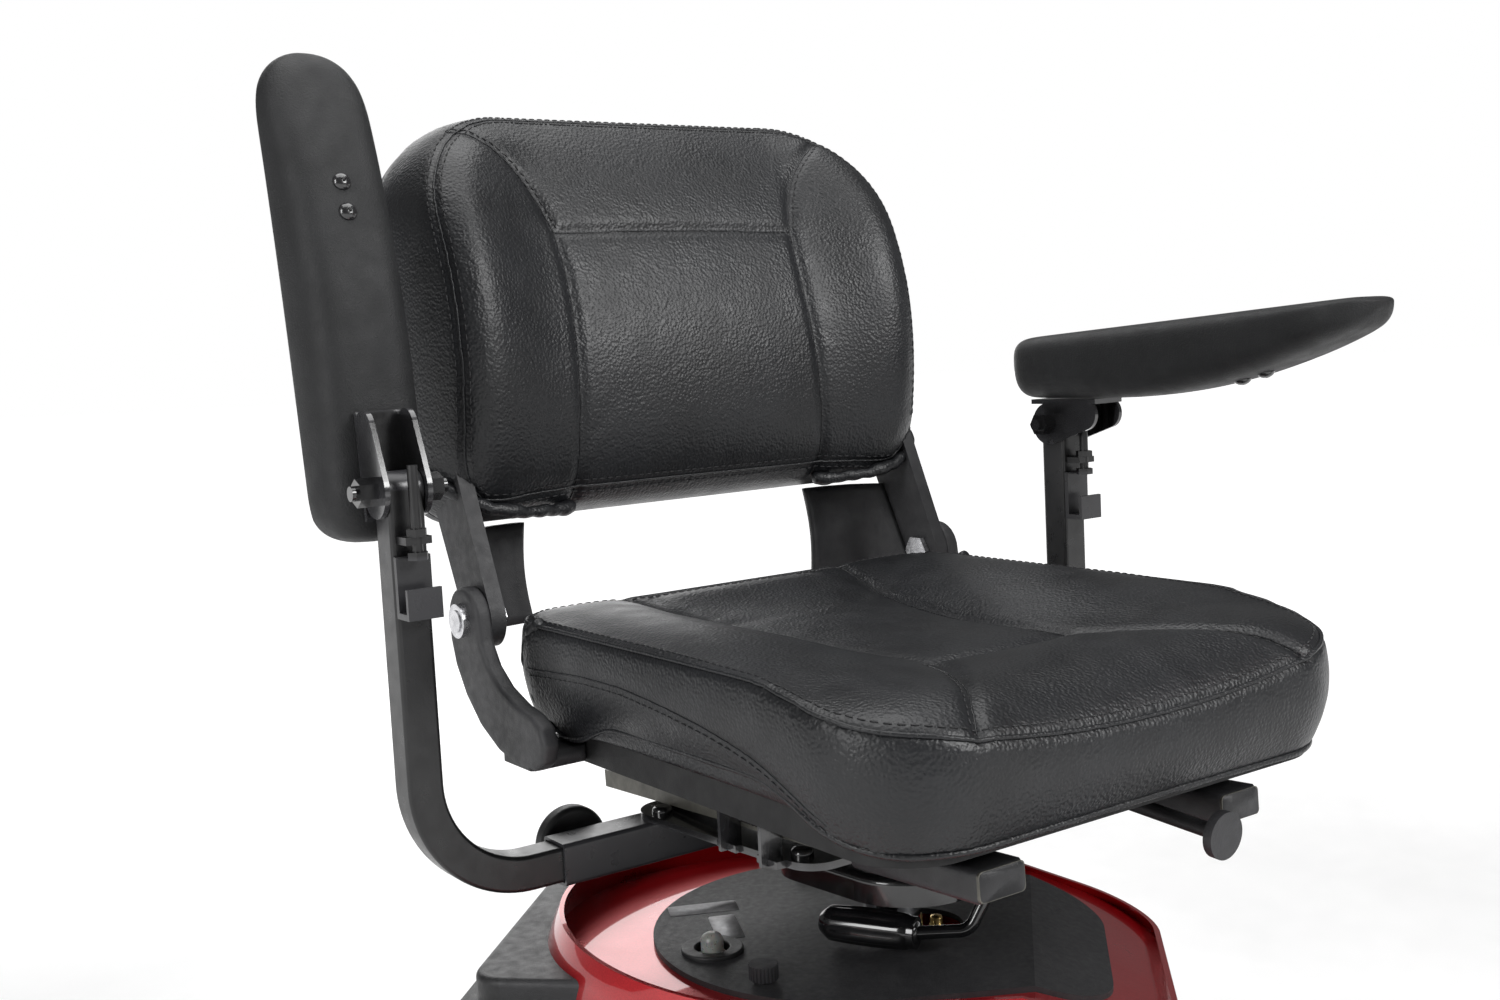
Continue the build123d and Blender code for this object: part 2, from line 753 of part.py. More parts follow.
BASKET_SIZE = (300.0, 170.0, 190.0)
BASKET_WALL = 3.0
BASKET_AT = 300.0
with BuildPart() as basket:
    basket_back = STEER.from_local_coords((0, BASKET_BACK - 4.3, BASKET_AT))
    with BuildSketch(steer_plane(BASKET_AT)):
        with Locations((0, BASKET_BACK - 4.3 - BASKET_SIZE[1] / 2)):
            RectangleRounded(BASKET_SIZE[0] - 40, BASKET_SIZE[1], 24)
    with BuildSketch(steer_plane(BASKET_AT + BASKET_SIZE[2])):
        with Locations((0, BASKET_BACK - 4.3 - BASKET_SIZE[1] / 2)):
            RectangleRounded(BASKET_SIZE[0], BASKET_SIZE[1], 24)
    loft()
    offset(amount=-BASKET_WALL, openings=basket.faces().sort_by(Axis(STEER.origin, STEER.z_dir))[-1])
save(basket, "basket")

# ---------------------------------------------------------------- seat post and swivel
with BuildPart() as seat_post:
    with BuildSketch(Plane.XY.offset(POST_BOTTOM)):
        Circle(POST_R)
        Circle(POST_R - POST_WALL, mode=Mode.SUBTRACT)
    extrude(amount=POST_TOP - POST_BOTTOM)
save(seat_post, "seat_post", SEAT_TURN)

BEARING_R = 48.0
with BuildPart() as post_head:
    with BuildSketch(Plane.XY.offset(HEAD_BOTTOM)):
        Circle(30)
    extrude(amount=HEAD_PLATE_BOTTOM - HEAD_BOTTOM)
    with BuildSketch(Plane.XY.offset(HEAD_PLATE_BOTTOM)):
        with Locations((0, -18)):
            Circle(54)
        with Locations((-30, 42), (30, 42)):
            Circle(30)
        make_hull()
    extrude(amount=HEAD_TOP - HEAD_PLATE_BOTTOM)
    fillet(post_head.edges().group_by(Axis.Z)[-1], 6)
    with BuildSketch(Plane.XY.offset(HEAD_TOP)):
        Circle(BEARING_R)
    extrude(amount=RECEIVER_Z + RECEIVER_SIZE / 2 - HEAD_TOP)
    with BuildSketch(Plane.XY.offset(HEAD_BOTTOM - 1)):
        Circle(POST_R + RUN_GAP)
    extrude(amount=POST_TOP + 0.2 - HEAD_BOTTOM + 1, mode=Mode.SUBTRACT)
save(post_head, "post_head", SEAT_TURN)

PLATE_BOTTOM = RECEIVER_Z + RECEIVER_SIZE / 2
LATCH_X = -130.0
LATCH_Z = 482.0
LATCH_LUGS = (-36, 10)
EARS = ((-128, 100), (128, 100), (-112, -44), (112, -44))
with BuildPart() as swivel_plate:
    with BuildSketch(Plane.XY.offset(PLATE_BOTTOM)):
        with Locations((-116, 104), (116, 104)):
            Circle(24)
        with Locations((-104, -46), (104, -46)):
            Circle(22)
        make_hull()
    extrude(amount=SWIVEL_PLATE_T)
    # Dome bolts on the four ears
    for ear in EARS:
        with BuildSketch(Plane.XY.offset(PLATE_BOTTOM + SWIVEL_PLATE_T)):
            with Locations(ear):
                Circle(7.5)
        extrude(amount=5)
    fillet(swivel_plate.edges().group_by(Axis.Z)[-1], 3.5)
    # Lugs that hold the latch rod
    for lug_y in LATCH_LUGS:
        with BuildSketch(Plane.XZ.offset(-lug_y - 3)):
            with Locations((LATCH_X - 0.5, (PLATE_BOTTOM + LATCH_Z) / 2 + 4)):
                Rectangle(17, LATCH_Z - PLATE_BOTTOM + 8)
            with Locations((LATCH_X, LATCH_Z)):
                Circle(4, mode=Mode.SUBTRACT)
        extrude(amount=3)
        with BuildSketch(Plane.XY.offset(PLATE_BOTTOM)):
            with Locations((LATCH_X + 12, lug_y + 1.5)):
                Rectangle(32, 22)
        extrude(amount=SWIVEL_PLATE_T)
save(swivel_plate, "swivel_plate", SEAT_TURN)

with BuildPart() as armrest_receiver:
    with BuildSketch(Plane.YZ.offset(-RECEIVER_HALF)):
        with Locations((RECEIVER_Y, RECEIVER_Z)):
            RectangleRounded(RECEIVER_SIZE, RECEIVER_SIZE, 3)
            RectangleRounded(RECEIVER_SIZE - 2 * RECEIVER_WALL, RECEIVER_SIZE - 2 * RECEIVER_WALL, 1, mode=Mode.SUBTRACT)
    extrude(amount=2 * RECEIVER_HALF)
    with BuildSketch(Plane.XZ.offset(-RECEIVER_Y - 5)):
        with Locations((-KNOB_X, RECEIVER_Z), (KNOB_X, RECEIVER_Z)):
            Circle(5 + RUN_GAP)
    extrude(amount=-20, mode=Mode.SUBTRACT)
save(armrest_receiver, "armrest_receiver", SEAT_TURN)


def make_receiver_knob(side):
    """Hand knob whose screw clamps one armrest stem in the receiver."""
    with BuildPart() as knob:
        with BuildSketch(Plane.XZ.offset(-RECEIVER_Y - STEM / 2 - 0.5)):
            with Locations((side * KNOB_X, RECEIVER_Z)):
                Circle(5)
        extrude(amount=-14)
        with BuildSketch(Plane.XZ.offset(-RECEIVER_Y - RECEIVER_SIZE / 2 - 1)):
            with Locations((side * KNOB_X, RECEIVER_Z)):
                Circle(11)
        extrude(amount=-8)
        with BuildSketch(Plane.XZ.offset(-RECEIVER_Y - RECEIVER_SIZE / 2 - 9)):
            with Locations((side * KNOB_X, RECEIVER_Z)):
                Circle(27)
        extrude(amount=-14)
        fillet(knob.edges().filter_by(GeomType.CIRCLE).group_by(SortBy.RADIUS)[-1], 4)
    return knob


save(make_receiver_knob(SEAT_LEFT), "receiver_knob_left", SEAT_TURN)
save(make_receiver_knob(SEAT_RIGHT), "receiver_knob_right", SEAT_TURN)

# ---------------------------------------------------------------- slide rails
with BuildPart() as slide_rails_lower:
    with BuildSketch(RAIL.offset(-44)):
        with Locations((-RAIL_X, LOWER_RAIL[1] / 2), (RAIL_X, LOWER_RAIL[1] / 2)):
            Rectangle(*LOWER_RAIL)
    extrude(amount=310)
save(slide_rails_lower, "slide_rails_lower", SEAT_TURN)

RAIL_RISE = LOWER_RAIL[1] + 0.3
with BuildPart() as slide_rails_upper:
    with BuildSketch(RAIL.offset(RAIL_REAR)):
        with Locations((-RAIL_X, 8.5), (RAIL_X, 8.5)):
            Rectangle(UPPER_RAIL[0], 13)
        with Locations((-RAIL_X, (2 + RAIL_RISE) / 2), (RAIL_X, (2 + RAIL_RISE) / 2)):
            Rectangle(LOWER_RAIL[0] + 0.8, RAIL_RISE - 2, mode=Mode.SUBTRACT)
    extrude(amount=RAIL_FRONT - RAIL_REAR)
    # End blocks
    with BuildSketch(RAIL.offset(RAIL_FRONT)):
        with Locations((-RAIL_X, 7), (RAIL_X, 7)):
            RectangleRounded(36, 18, 3)
    extrude(amount=26)
save(slide_rails_upper, "slide_rails_upper", SEAT_TURN)

with BuildPart() as latch_spring:
    with BuildSketch(Plane.XZ.offset(-LATCH_LUGS[1] - 8)):
        with Locations((LATCH_X, LATCH_Z)):
            Circle(4)
    extrude(amount=112)
    for turn in range(9):
        with BuildSketch(Plane.XZ.offset(-LATCH_LUGS[0] - 5 - 4.2 * turn)):
            with Locations((LATCH_X, LATCH_Z)):
                Circle(7.5)
        extrude(amount=-3)
save(latch_spring, "latch_spring", SEAT_TURN)

# ---------------------------------------------------------------- seat
PAN_PLANE = Plane(
    origin=RAIL.from_local_coords((0, 15, 0)),
    x_dir=(1, 0, 0),
    z_dir=(0, sin(radians(RAIL_TILT)), cos(radians(RAIL_TILT))),
)
PAN_RIM_Z = 506.0
PAN_FLOOR_Z = 493.0
with BuildPart() as seat_pan:
    # Ribs that stand on the rails
    with BuildSketch(PAN_PLANE):
        with Locations((-RAIL_X, -142), (RAIL_X, -142)):
            Rectangle(30, 316)
    extrude(amount=40)
    with BuildSketch(Plane.XY.offset(PAN_FLOOR_Z)):
        Rectangle(800, 800)
    extrude(amount=60, mode=Mode.SUBTRACT)
    # Tray with sloping sides and an upright rim
    with BuildSketch(Plane.XY.offset(PAN_FLOOR_Z)):
        with Locations((0, -30)):
            RectangleRounded(310, 340, 30)
    with BuildSketch(Plane.XY.offset(PAN_RIM_Z)):
        with Locations((0, -30)):
            RectangleRounded(376, 400, 44)
    loft()
    with BuildSketch(Plane.XY.offset(PAN_RIM_Z)):
        with Locations((0, -30)):
            RectangleRounded(376, 400, 44)
    extrude(amount=SEAT_UNDER - PAN_RIM_Z - 0.3)
    with BuildSketch(Plane.XY.offset(PAN_RIM_Z - 5)):
        with Locations((0, -30)):
            RectangleRounded(340, 364, 30)
    extrude(amount=40, mode=Mode.SUBTRACT)
save(seat_pan, "seat_pan", SEAT_TURN)

with BuildPart() as seat_cushion:
    with BuildSketch(Plane.XY.offset(SEAT_UNDER)):
        with Locations((0, (SEAT_FRONT + SEAT_REAR) / 2)):
            RectangleRounded(2 * SEAT_HALF, SEAT_REAR - SEAT_FRONT, 58)
    extrude(amount=SEAT_TOP - SEAT_UNDER)
    fillet(seat_cushion.edges().group_by(Axis.Z)[-1], 24)
    fillet(seat_cushion.edges().group_by(Axis.Z)[0], 14)
save(seat_cushion, "seat_cushion", SEAT_TURN)

SLIDE_LEVER_FROM = (60, -150, 484)
SLIDE_LEVER_TO = (60, -238, 478)
with BuildPart() as slide_lever:
    lever_start = Vector(*SLIDE_LEVER_FROM)
    lever_end = Vector(*SLIDE_LEVER_TO)
    with BuildSketch(Plane(lever_start, z_dir=lever_end - lever_start)):
        Circle(5)
    extrude(amount=(lever_end - lever_start).length)
    with BuildSketch(Plane(lever_end, z_dir=lever_end - lever_start)):
        Circle(15)
    extrude(amount=6)
    with BuildSketch(Plane.XY.offset(SLIDE_LEVER_FROM[2] - 6)):
        with Locations(SLIDE_LEVER_FROM[:2]):
            Circle(9)
    extrude(amount=14.7)
save(slide_lever, "slide_lever", SEAT_TURN)

LEVER_PIVOT = (8, -70)
with BuildPart() as swivel_lever:
    with BuildLine() as lever_path:
        FilletPolyline(
            (LEVER_PIVOT[0], LEVER_PIVOT[1], PLATE_BOTTOM - 1.5), (14, -84, 412), (0, -79, 387), (-30, -52, 385),
            radius=[10, 12],
        )
    with BuildSketch(Plane(lever_path.wire() @ 0, z_dir=lever_path.wire() % 0)):
        Circle(4.5)
    sweep(path=lever_path.wire())
    # Round boss that turns under the swivel plate
    with BuildSketch(Plane.XY.offset(PLATE_BOTTOM - 9)):
        with Locations(LEVER_PIVOT):
            Circle(8)
    extrude(amount=8.7)
    grip_start = Vector(-26, -55, 385)
    grip_end = Vector(-58, 2, 385)
    with BuildSketch(Plane(grip_start, z_dir=grip_end - grip_start)):
        Circle(11)
    extrude(amount=(grip_end - grip_start).length)
    fillet(swivel_lever.faces().sort_by(Axis(grip_start, grip_end - grip_start))[-1].edges(), 3)
save(swivel_lever, "swivel_lever", SEAT_TURN)

# ---------------------------------------------------------------- backrest
BRACKET_X = ARM_IN_X + ARM_T + 0.5
BOLT_R = 8.0
with BuildPart() as hinge_brackets:
    for side in (SEAT_LEFT, SEAT_RIGHT):
        with BuildSketch(Plane.YZ.offset(side * (BRACKET_X + ARM_T / 2) - ARM_T / 2)):
            with Locations((HINGE_Y, HINGE_Z)):
                Circle(24)
            with Locations((150, 536)):
                Circle(24)
            make_hull()
        extrude(amount=ARM_T)
        with BuildSketch(Plane.YZ.offset(side * (BRACKET_X + ARM_T / 2) - ARM_T / 2)):
            with Locations((150, 536), (96, 528)):
                Circle(22)
            make_hull()
        extrude(amount=ARM_T)
        with BuildSketch(Plane.XY.offset(508)):
            with Locations((side * (188 + BRACKET_X + ARM_T) / 2, 118)):
                Rectangle(BRACKET_X + ARM_T - 188, 56)
        extrude(amount=12)
        with BuildSketch(Plane.YZ.offset(side * 230 - 20)):
            with Locations((HINGE_Y, HINGE_Z)):
                Circle(BOLT_R)
        extrude(amount=40, mode=Mode.SUBTRACT)
save(hinge_brackets, "hinge_brackets", SEAT_TURN)

with BuildPart() as hinge_bolts:
    for side in (SEAT_LEFT, SEAT_RIGHT):
        with BuildSketch(Plane.YZ.offset(side * 222 - 17)):
            with Locations((HINGE_Y, HINGE_Z)):
                Circle(BOLT_R)
        extrude(amount=34)
        with BuildSketch(Plane.YZ.offset(side * (BRACKET_X + ARM_T + 2.5) - 2.5)):
            with Locations((HINGE_Y, HINGE_Z)):
                Circle(12.5)
                RegularPolygon(5, 6, mode=Mode.SUBTRACT)
        extrude(amount=5)
        with BuildSketch(Plane.YZ.offset(side * (ARM_IN_X - 3) - 2.5)):
            with Locations((HINGE_Y, HINGE_Z)):
                RegularPolygon(13, 6)
        extrude(amount=5)
save(hinge_bolts, "hinge_bolts", SEAT_TURN)

with BuildPart() as backrest_arms:
    for side in (SEAT_LEFT, SEAT_RIGHT):
        with BuildSketch(Plane.YZ.offset(side * (ARM_IN_X + ARM_T / 2) - ARM_T / 2)):
            with Locations((HINGE_Y, HINGE_Z)):
                Circle(22)
            with Locations((229, 680)):
                Circle(21)
            with Locations((243, 746)):
                Circle(15)
            make_hull()
            with Locations((HINGE_Y, HINGE_Z)):
                Circle(BOLT_R + RUN_GAP, mode=Mode.SUBTRACT)
        extrude(amount=ARM_T)
save(backrest_arms, "backrest_arms", SEAT_TURN)


with BuildPart() as backrest_cushion:
    # Front view: straight sides, large top corners
    with BuildSketch(BACK.offset(-BACK_PAD)):
        with Locations((0, BACK_HEIGHT / 2)):
            Rectangle(2 * BACK_HALF, BACK_HEIGHT)
    extrude(amount=BACK_PAD + BACK_BOLSTER)
    upright = backrest_cushion.edges().filter_by(Axis((0, 0, 0), BACK.z_dir))
    fillet(upright.group_by(Axis.Z)[-1], 100)
    fillet(backrest_cushion.edges().filter_by(Axis((0, 0, 0), BACK.z_dir)).group_by(Axis.Z)[0], 44)
    # Plan: side bolsters stand further forward than the middle
    with BuildSketch(Plane(BACK.origin, x_dir=(1, 0, 0), z_dir=BACK.y_dir)):
        Polygon(
            (-BACK_HALF, BACK_PAD), (-BACK_HALF, -BACK_CROWN), (-BACK_HALF + 14, -BACK_BOLSTER),
            (-BACK_HALF + 40, -BACK_BOLSTER), (-118, -BACK_CROWN), (118, -BACK_CROWN),
            (BACK_HALF - 40, -BACK_BOLSTER), (BACK_HALF - 14, -BACK_BOLSTER),
            (BACK_HALF, -BACK_CROWN), (BACK_HALF, BACK_PAD),
            align=None,
        )
    extrude(amount=BACK_HEIGHT, mode=Mode.INTERSECT)
    # Side view: crowned face, from the bottom edge to the top edge
    with BuildSketch(Plane(BACK.from_local_coords((-300, 0, 0)), x_dir=-BACK.z_dir, z_dir=(1, 0, 0))):
        with BuildLine():
            ThreePointArc((-4, -2), (-BACK_BOLSTER - 1.5, 128), (4, BACK_HEIGHT + 2))
            Polyline((4, BACK_HEIGHT + 2), (BACK_PAD + 2, BACK_HEIGHT + 2), (BACK_PAD + 2, -2), (-4, -2))
        make_face()
    extrude(amount=600, mode=Mode.INTERSECT)
    add(backrest_arms.part, mode=Mode.SUBTRACT)
save(backrest_cushion, "backrest_cushion", SEAT_TURN)

with BuildPart() as backrest_shell:
    with BuildSketch(BACK.offset(-BACK_PAD - 0.3)):
        with Locations((0, BACK_HEIGHT / 2)):
            Rectangle(2 * BACK_HALF - 8, BACK_HEIGHT - 8)
    extrude(amount=-BACK_SHELL)
    upright = backrest_shell.edges().filter_by(Axis((0, 0, 0), BACK.z_dir))
    fillet(upright.group_by(Axis.Z)[-1], 96)
    fillet(backrest_shell.edges().filter_by(Axis((0, 0, 0), BACK.z_dir)).group_by(Axis.Z)[0], 40)
    fillet(backrest_shell.faces().sort_by(Axis(BACK.origin, BACK.z_dir))[0].edges(), 10)
    add(backrest_arms.part, mode=Mode.SUBTRACT)
save(backrest_shell, "backrest_shell", SEAT_TURN)

# ---------------------------------------------------------------- armrests
PIVOT_BOLT_R = 5.0
EAR_GAP = STEM / 2 + 0.5
EAR_T = 3.5
WEB_RISE = 17.0
WEB_T = 4.0
PAD_UNDER = ARM_PIVOT_Z + WEB_RISE + WEB_T + 0.3
PAD_CURVE_R = 528.0
PAD_LEVEL_Y = 40.0
FLIP_AXIS = Axis((0, RECEIVER_Y, ARM_PIVOT_Z), (1, 0, 0))


def make_arm_stem(side):
    """Bent square stem with a rounded top, its down-stop bolt and hooked tab."""
    with BuildPart() as stem:
        with BuildLine() as stem_path:
            FilletPolyline(
                (side * 116, RECEIVER_Y, RECEIVER_Z), (side * ARM_X, RECEIVER_Y, RECEIVER_Z),
                (side * ARM_X, RECEIVER_Y, ARM_PIVOT_Z),
                radius=STEM_BEND,
            )
        with BuildSketch(Plane.YZ.offset(side * 116)):
            with Locations((RECEIVER_Y, RECEIVER_Z)):
                RectangleRounded(STEM, STEM, 3)
        sweep(path=stem_path.wire())
        with BuildSketch(Plane.YZ.offset(side * ARM_X - STEM / 2)):
            with Locations((RECEIVER_Y, ARM_PIVOT_Z)):
                Circle(STEM / 2)
        extrude(amount=STEM)
        with BuildSketch(Plane.YZ.offset(side * ARM_X - STEM)):
            with Locations((RECEIVER_Y, ARM_PIVOT_Z)):
                Circle(PIVOT_BOLT_R + RUN_GAP)
        extrude(amount=2 * STEM, mode=Mode.SUBTRACT)
        stop_y = RECEIVER_Y - STEM / 2 - 12
        with BuildSketch(Plane.XY.offset(ARM_PIVOT_Z - 34)):
            with Locations((side * ARM_X, stop_y + 5)):
                Rectangle(18, 16)
        extrude(amount=5)
        with BuildSketch(Plane.XY.offset(ARM_PIVOT_Z - 44)):
            with Locations((side * ARM_X, stop_y)):
                Circle(3.5)
        extrude(amount=44 + WEB_RISE - 0.3)
        for nut_z in (-29, -44):
            with BuildSketch(Plane.XY.offset(ARM_PIVOT_Z + nut_z)):
                with Locations((side * ARM_X, stop_y)):
                    RegularPolygon(7, 6)
            extrude(amount=5)
        with BuildSketch(Plane.YZ.offset(side * ARM_X - 12)):
            with Locations((RECEIVER_Y - STEM / 2 - 2, ARM_PIVOT_Z - 62)):
                Rectangle(4, 40)
            with Locations((RECEIVER_Y - STEM / 2 - 9, ARM_PIVOT_Z - 80)):
                Rectangle(18, 4)
            with Locations((RECEIVER_Y - STEM / 2 - 17, ARM_PIVOT_Z - 72)):
                Rectangle(3, 20)
        extrude(amount=24)
    return stem


def make_arm_bracket(side):
    """Pivot bracket with two quarter-round ears, its bolt and domed nuts."""
    with BuildPart() as bracket:
        for middle in (-EAR_GAP - EAR_T / 2, EAR_GAP + EAR_T / 2):
            with BuildSketch(Plane.YZ.offset(side * ARM_X + middle - EAR_T / 2)):
                with Locations((RECEIVER_Y, ARM_PIVOT_Z)):
                    Circle(18)
                with Locations((RECEIVER_Y - 40, ARM_PIVOT_Z + 8)):
                    Circle(13)
                make_hull()
            extrude(amount=EAR_T)
        with BuildSketch(Plane.XY.offset(ARM_PIVOT_Z + WEB_RISE)):
            with Locations((side * ARM_X, RECEIVER_Y - 17)):
                Rectangle(2 * (EAR_GAP + EAR_T), 72)
        extrude(amount=WEB_T)
        with BuildSketch(Plane.YZ.offset(side * ARM_X - 33)):
            with Locations((RECEIVER_Y, ARM_PIVOT_Z)):
                Circle(PIVOT_BOLT_R)
        extrude(amount=66)
        for start in (-29, EAR_GAP + EAR_T):
            with BuildSketch(Plane.YZ.offset(side * ARM_X + start)):
                with Locations((RECEIVER_Y, ARM_PIVOT_Z)):
                    RegularPolygon(9.5, 6)
            extrude(amount=29 - EAR_GAP - EAR_T)
    return bracket


def make_arm_pad(side):
    """Moulded pad: level top, underside rising in a long curve to the tip, two dome screws."""
    with BuildPart() as pad:
        with BuildSketch(Plane.YZ.offset(side * ARM_X - PAD_WIDTH / 2)):
            with BuildLine():
                reach = PAD_LEVEL_Y - PAD_TIP - 6
                tip_rise = PAD_CURVE_R - (PAD_CURVE_R**2 - reach**2) ** 0.5
                Line((PAD_REAR, PAD_UNDER), (PAD_LEVEL_Y, PAD_UNDER))
                RadiusArc((PAD_LEVEL_Y, PAD_UNDER), (PAD_TIP + 6, PAD_UNDER + tip_rise), PAD_CURVE_R)
                Polyline(
                    (PAD_TIP + 6, PAD_UNDER + tip_rise), (PAD_TIP, 792), (PAD_TIP + 8, 801.5),
                    (PAD_REAR, 782), (PAD_REAR, PAD_UNDER),
                )
            make_face()
        extrude(amount=PAD_WIDTH)
        fillet(pad.edges().filter_by(Axis.X).group_by(Axis.Y)[-1], 9)
    return pad


for side, word, flip in ((SEAT_LEFT, "left", 0), (SEAT_RIGHT, "right", RAISED)):
    save(make_arm_stem(side), f"arm_stem_{word}", SEAT_TURN)
    arm_bracket = make_arm_bracket(side)
    arm_bracket.part = arm_bracket.part.rotate(FLIP_AXIS, flip)
    save(arm_bracket, f"arm_bracket_{word}", SEAT_TURN)
    arm_pad = make_arm_pad(side)
    arm_pad.part = arm_pad.part.rotate(FLIP_AXIS, flip)
    save(arm_pad, f"arm_pad_{word}", SEAT_TURN)
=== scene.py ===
import json
import math

import bpy
import numpy as np
from mathutils import Matrix, Vector
from mathutils.bvhtree import BVHTree


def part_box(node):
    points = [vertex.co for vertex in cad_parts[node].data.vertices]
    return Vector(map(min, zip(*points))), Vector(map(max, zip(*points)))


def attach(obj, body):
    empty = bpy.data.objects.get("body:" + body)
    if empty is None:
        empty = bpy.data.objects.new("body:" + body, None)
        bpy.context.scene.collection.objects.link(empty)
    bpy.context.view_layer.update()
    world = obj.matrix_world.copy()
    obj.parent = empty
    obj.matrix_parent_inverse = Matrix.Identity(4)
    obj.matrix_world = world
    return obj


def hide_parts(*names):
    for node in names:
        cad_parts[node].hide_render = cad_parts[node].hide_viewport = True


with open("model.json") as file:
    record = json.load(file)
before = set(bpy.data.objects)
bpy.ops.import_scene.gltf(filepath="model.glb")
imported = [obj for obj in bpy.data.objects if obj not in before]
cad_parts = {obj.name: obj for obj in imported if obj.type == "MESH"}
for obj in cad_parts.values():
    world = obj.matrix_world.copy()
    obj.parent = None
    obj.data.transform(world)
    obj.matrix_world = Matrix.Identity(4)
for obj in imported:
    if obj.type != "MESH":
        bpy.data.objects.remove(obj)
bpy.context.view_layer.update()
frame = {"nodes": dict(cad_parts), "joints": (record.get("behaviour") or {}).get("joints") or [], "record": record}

# Every shape is drawn in millimetres in a frame of its own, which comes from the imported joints.
MM = 0.001
nodes = frame["nodes"]
joints = {joint["name"]: joint for joint in frame["joints"]}
BACK_FROM_HINGE = (0, 28, 66)  # lower edge of the backrest's face, from the fold axis
RECLINE = math.radians(9.7)
RAISED = math.radians(-95)  # the right pad is drawn level and then turned up


def frame_matrix(origin, across, along):
    """A millimetre frame at a point in metres, with its x and z in the given directions."""
    x = Vector(across).normalized()
    z = Vector(along).normalized()
    turn = Matrix((x, z.cross(x), z)).transposed().to_4x4()
    return Matrix.Translation(origin) @ turn @ Matrix.Scale(MM, 4)


def at_joint(name, across, along):
    """A millimetre frame at a joint's pivot."""
    return frame_matrix(joints[name]["pos_m"], across, along)


SEAT_X = Vector(joints["backrest_fold"]["axis"])
SEAT = frame_matrix((0, 0, 0), SEAT_X, (0, 0, 1))
BACK_NORMAL = SEAT.to_3x3() @ Vector((0, -math.cos(RECLINE), math.sin(RECLINE)))
BACK_ORIGIN = Vector(joints["backrest_fold"]["pos_m"]) + SEAT.to_3x3() @ Vector(BACK_FROM_HINGE)
BACK = frame_matrix(BACK_ORIGIN, SEAT_X, BACK_NORMAL)
STEER = at_joint("steering_turn", (1, 0, 0), joints["steering_turn"]["axis"])
HINGE = (190.0, 602.0)  # y and z of the fold axis in the seat's frame
RAIL_X = 105.0
RAIL_START = Vector((0, 130, 457.3))
RAIL_TILT = math.radians(3.0)
RAILS = SEAT @ Matrix.Translation(RAIL_START) @ Matrix.Rotation(-RAIL_TILT, 4, "X")
PAD_LEFT = at_joint("armrest_left_flip", SEAT_X, (0, 0, 1))
PAD_RIGHT = at_joint("armrest_right_flip", SEAT_X, (0, 0, 1)) @ Matrix.Rotation(RAISED, 4, "X")
SHARED = Matrix.Scale(MM, 4)  # the shared frame itself, in millimetres


# ---------------------------------------------------------------- small numbers
def ramp(value, start, end):
    """0 before start, 1 after end, smooth between them."""
    t = np.clip((np.asarray(value, float) - start) / (end - start), 0, 1)
    return t * t * (3 - 2 * t)


def mix(low, high, share):
    return low + (high - low) * share


def round_turns(count):
    """Angles at even steps round a full turn."""
    return [2 * math.pi * k / count for k in range(count)]


def shares(*bands):
    """Ways along a loft, from bands of (start, end, count)."""
    return np.concatenate([np.linspace(start, end, count) for start, end, count in bands])


def resample(points, count, closed=False):
    """Points at even steps along a path."""
    path = np.array(points, float)
    if closed:
        path = np.vstack([path, path[:1]])
    steps = np.linalg.norm(np.diff(path, axis=0), axis=1)
    along = np.concatenate([[0], np.cumsum(steps)])
    at = np.linspace(0, along[-1], count, endpoint=not closed)
    return np.stack([np.interp(at, along, path[:, k]) for k in range(path.shape[1])], 1)


def smooth_path(points, count):
    """A soft curve through a few points, at even steps."""
    path = np.array(points, float)
    for _ in range(3):
        low = path[:-1] * 0.75 + path[1:] * 0.25
        high = path[:-1] * 0.25 + path[1:] * 0.75
        middle = np.stack([low, high], 1).reshape(-1, path.shape[1])
        path = np.vstack([path[:1], middle, path[-1:]])
    return resample(path, count)


def rounded_rectangle(half, low, high, corner_low, corner_high, count):
    """Outline of a rectangle about x = 0 with two sizes of corner."""
    corners = (
        (half - corner_low, low + corner_low, corner_low, -90),
        (half - corner_high, high - corner_high, corner_high, 0),
        (corner_high - half, high - corner_high, corner_high, 90),
        (corner_low - half, low + corner_low, corner_low, 180),
    )
    outline = []
    for x, y, radius, start in corners:
        for step in range(13):
            turn = math.radians(start + 7.5 * step)
            outline.append((x + radius * math.cos(turn), y + radius * math.sin(turn)))
    return resample(outline, count, closed=True)


def distance_to_path(points, path):
    """Distance from each point to a path of straight pieces."""
    best = np.full(len(points), 1e9)
    for start, end in zip(path[:-1], path[1:]):
        run = end - start
        share = np.clip((points - start) @ run / max(run @ run, 1e-12), 0, 1)
        best = np.minimum(best, np.linalg.norm(points - start - share[:, None] * run, axis=1))
    return best


def mirrored(paths):
    """The paths and their mirror images about x = 0."""
    flip = np.array([-1, 1, 1])
    return list(paths) + [np.asarray(path) * flip[: np.shape(path)[1]] for path in paths]


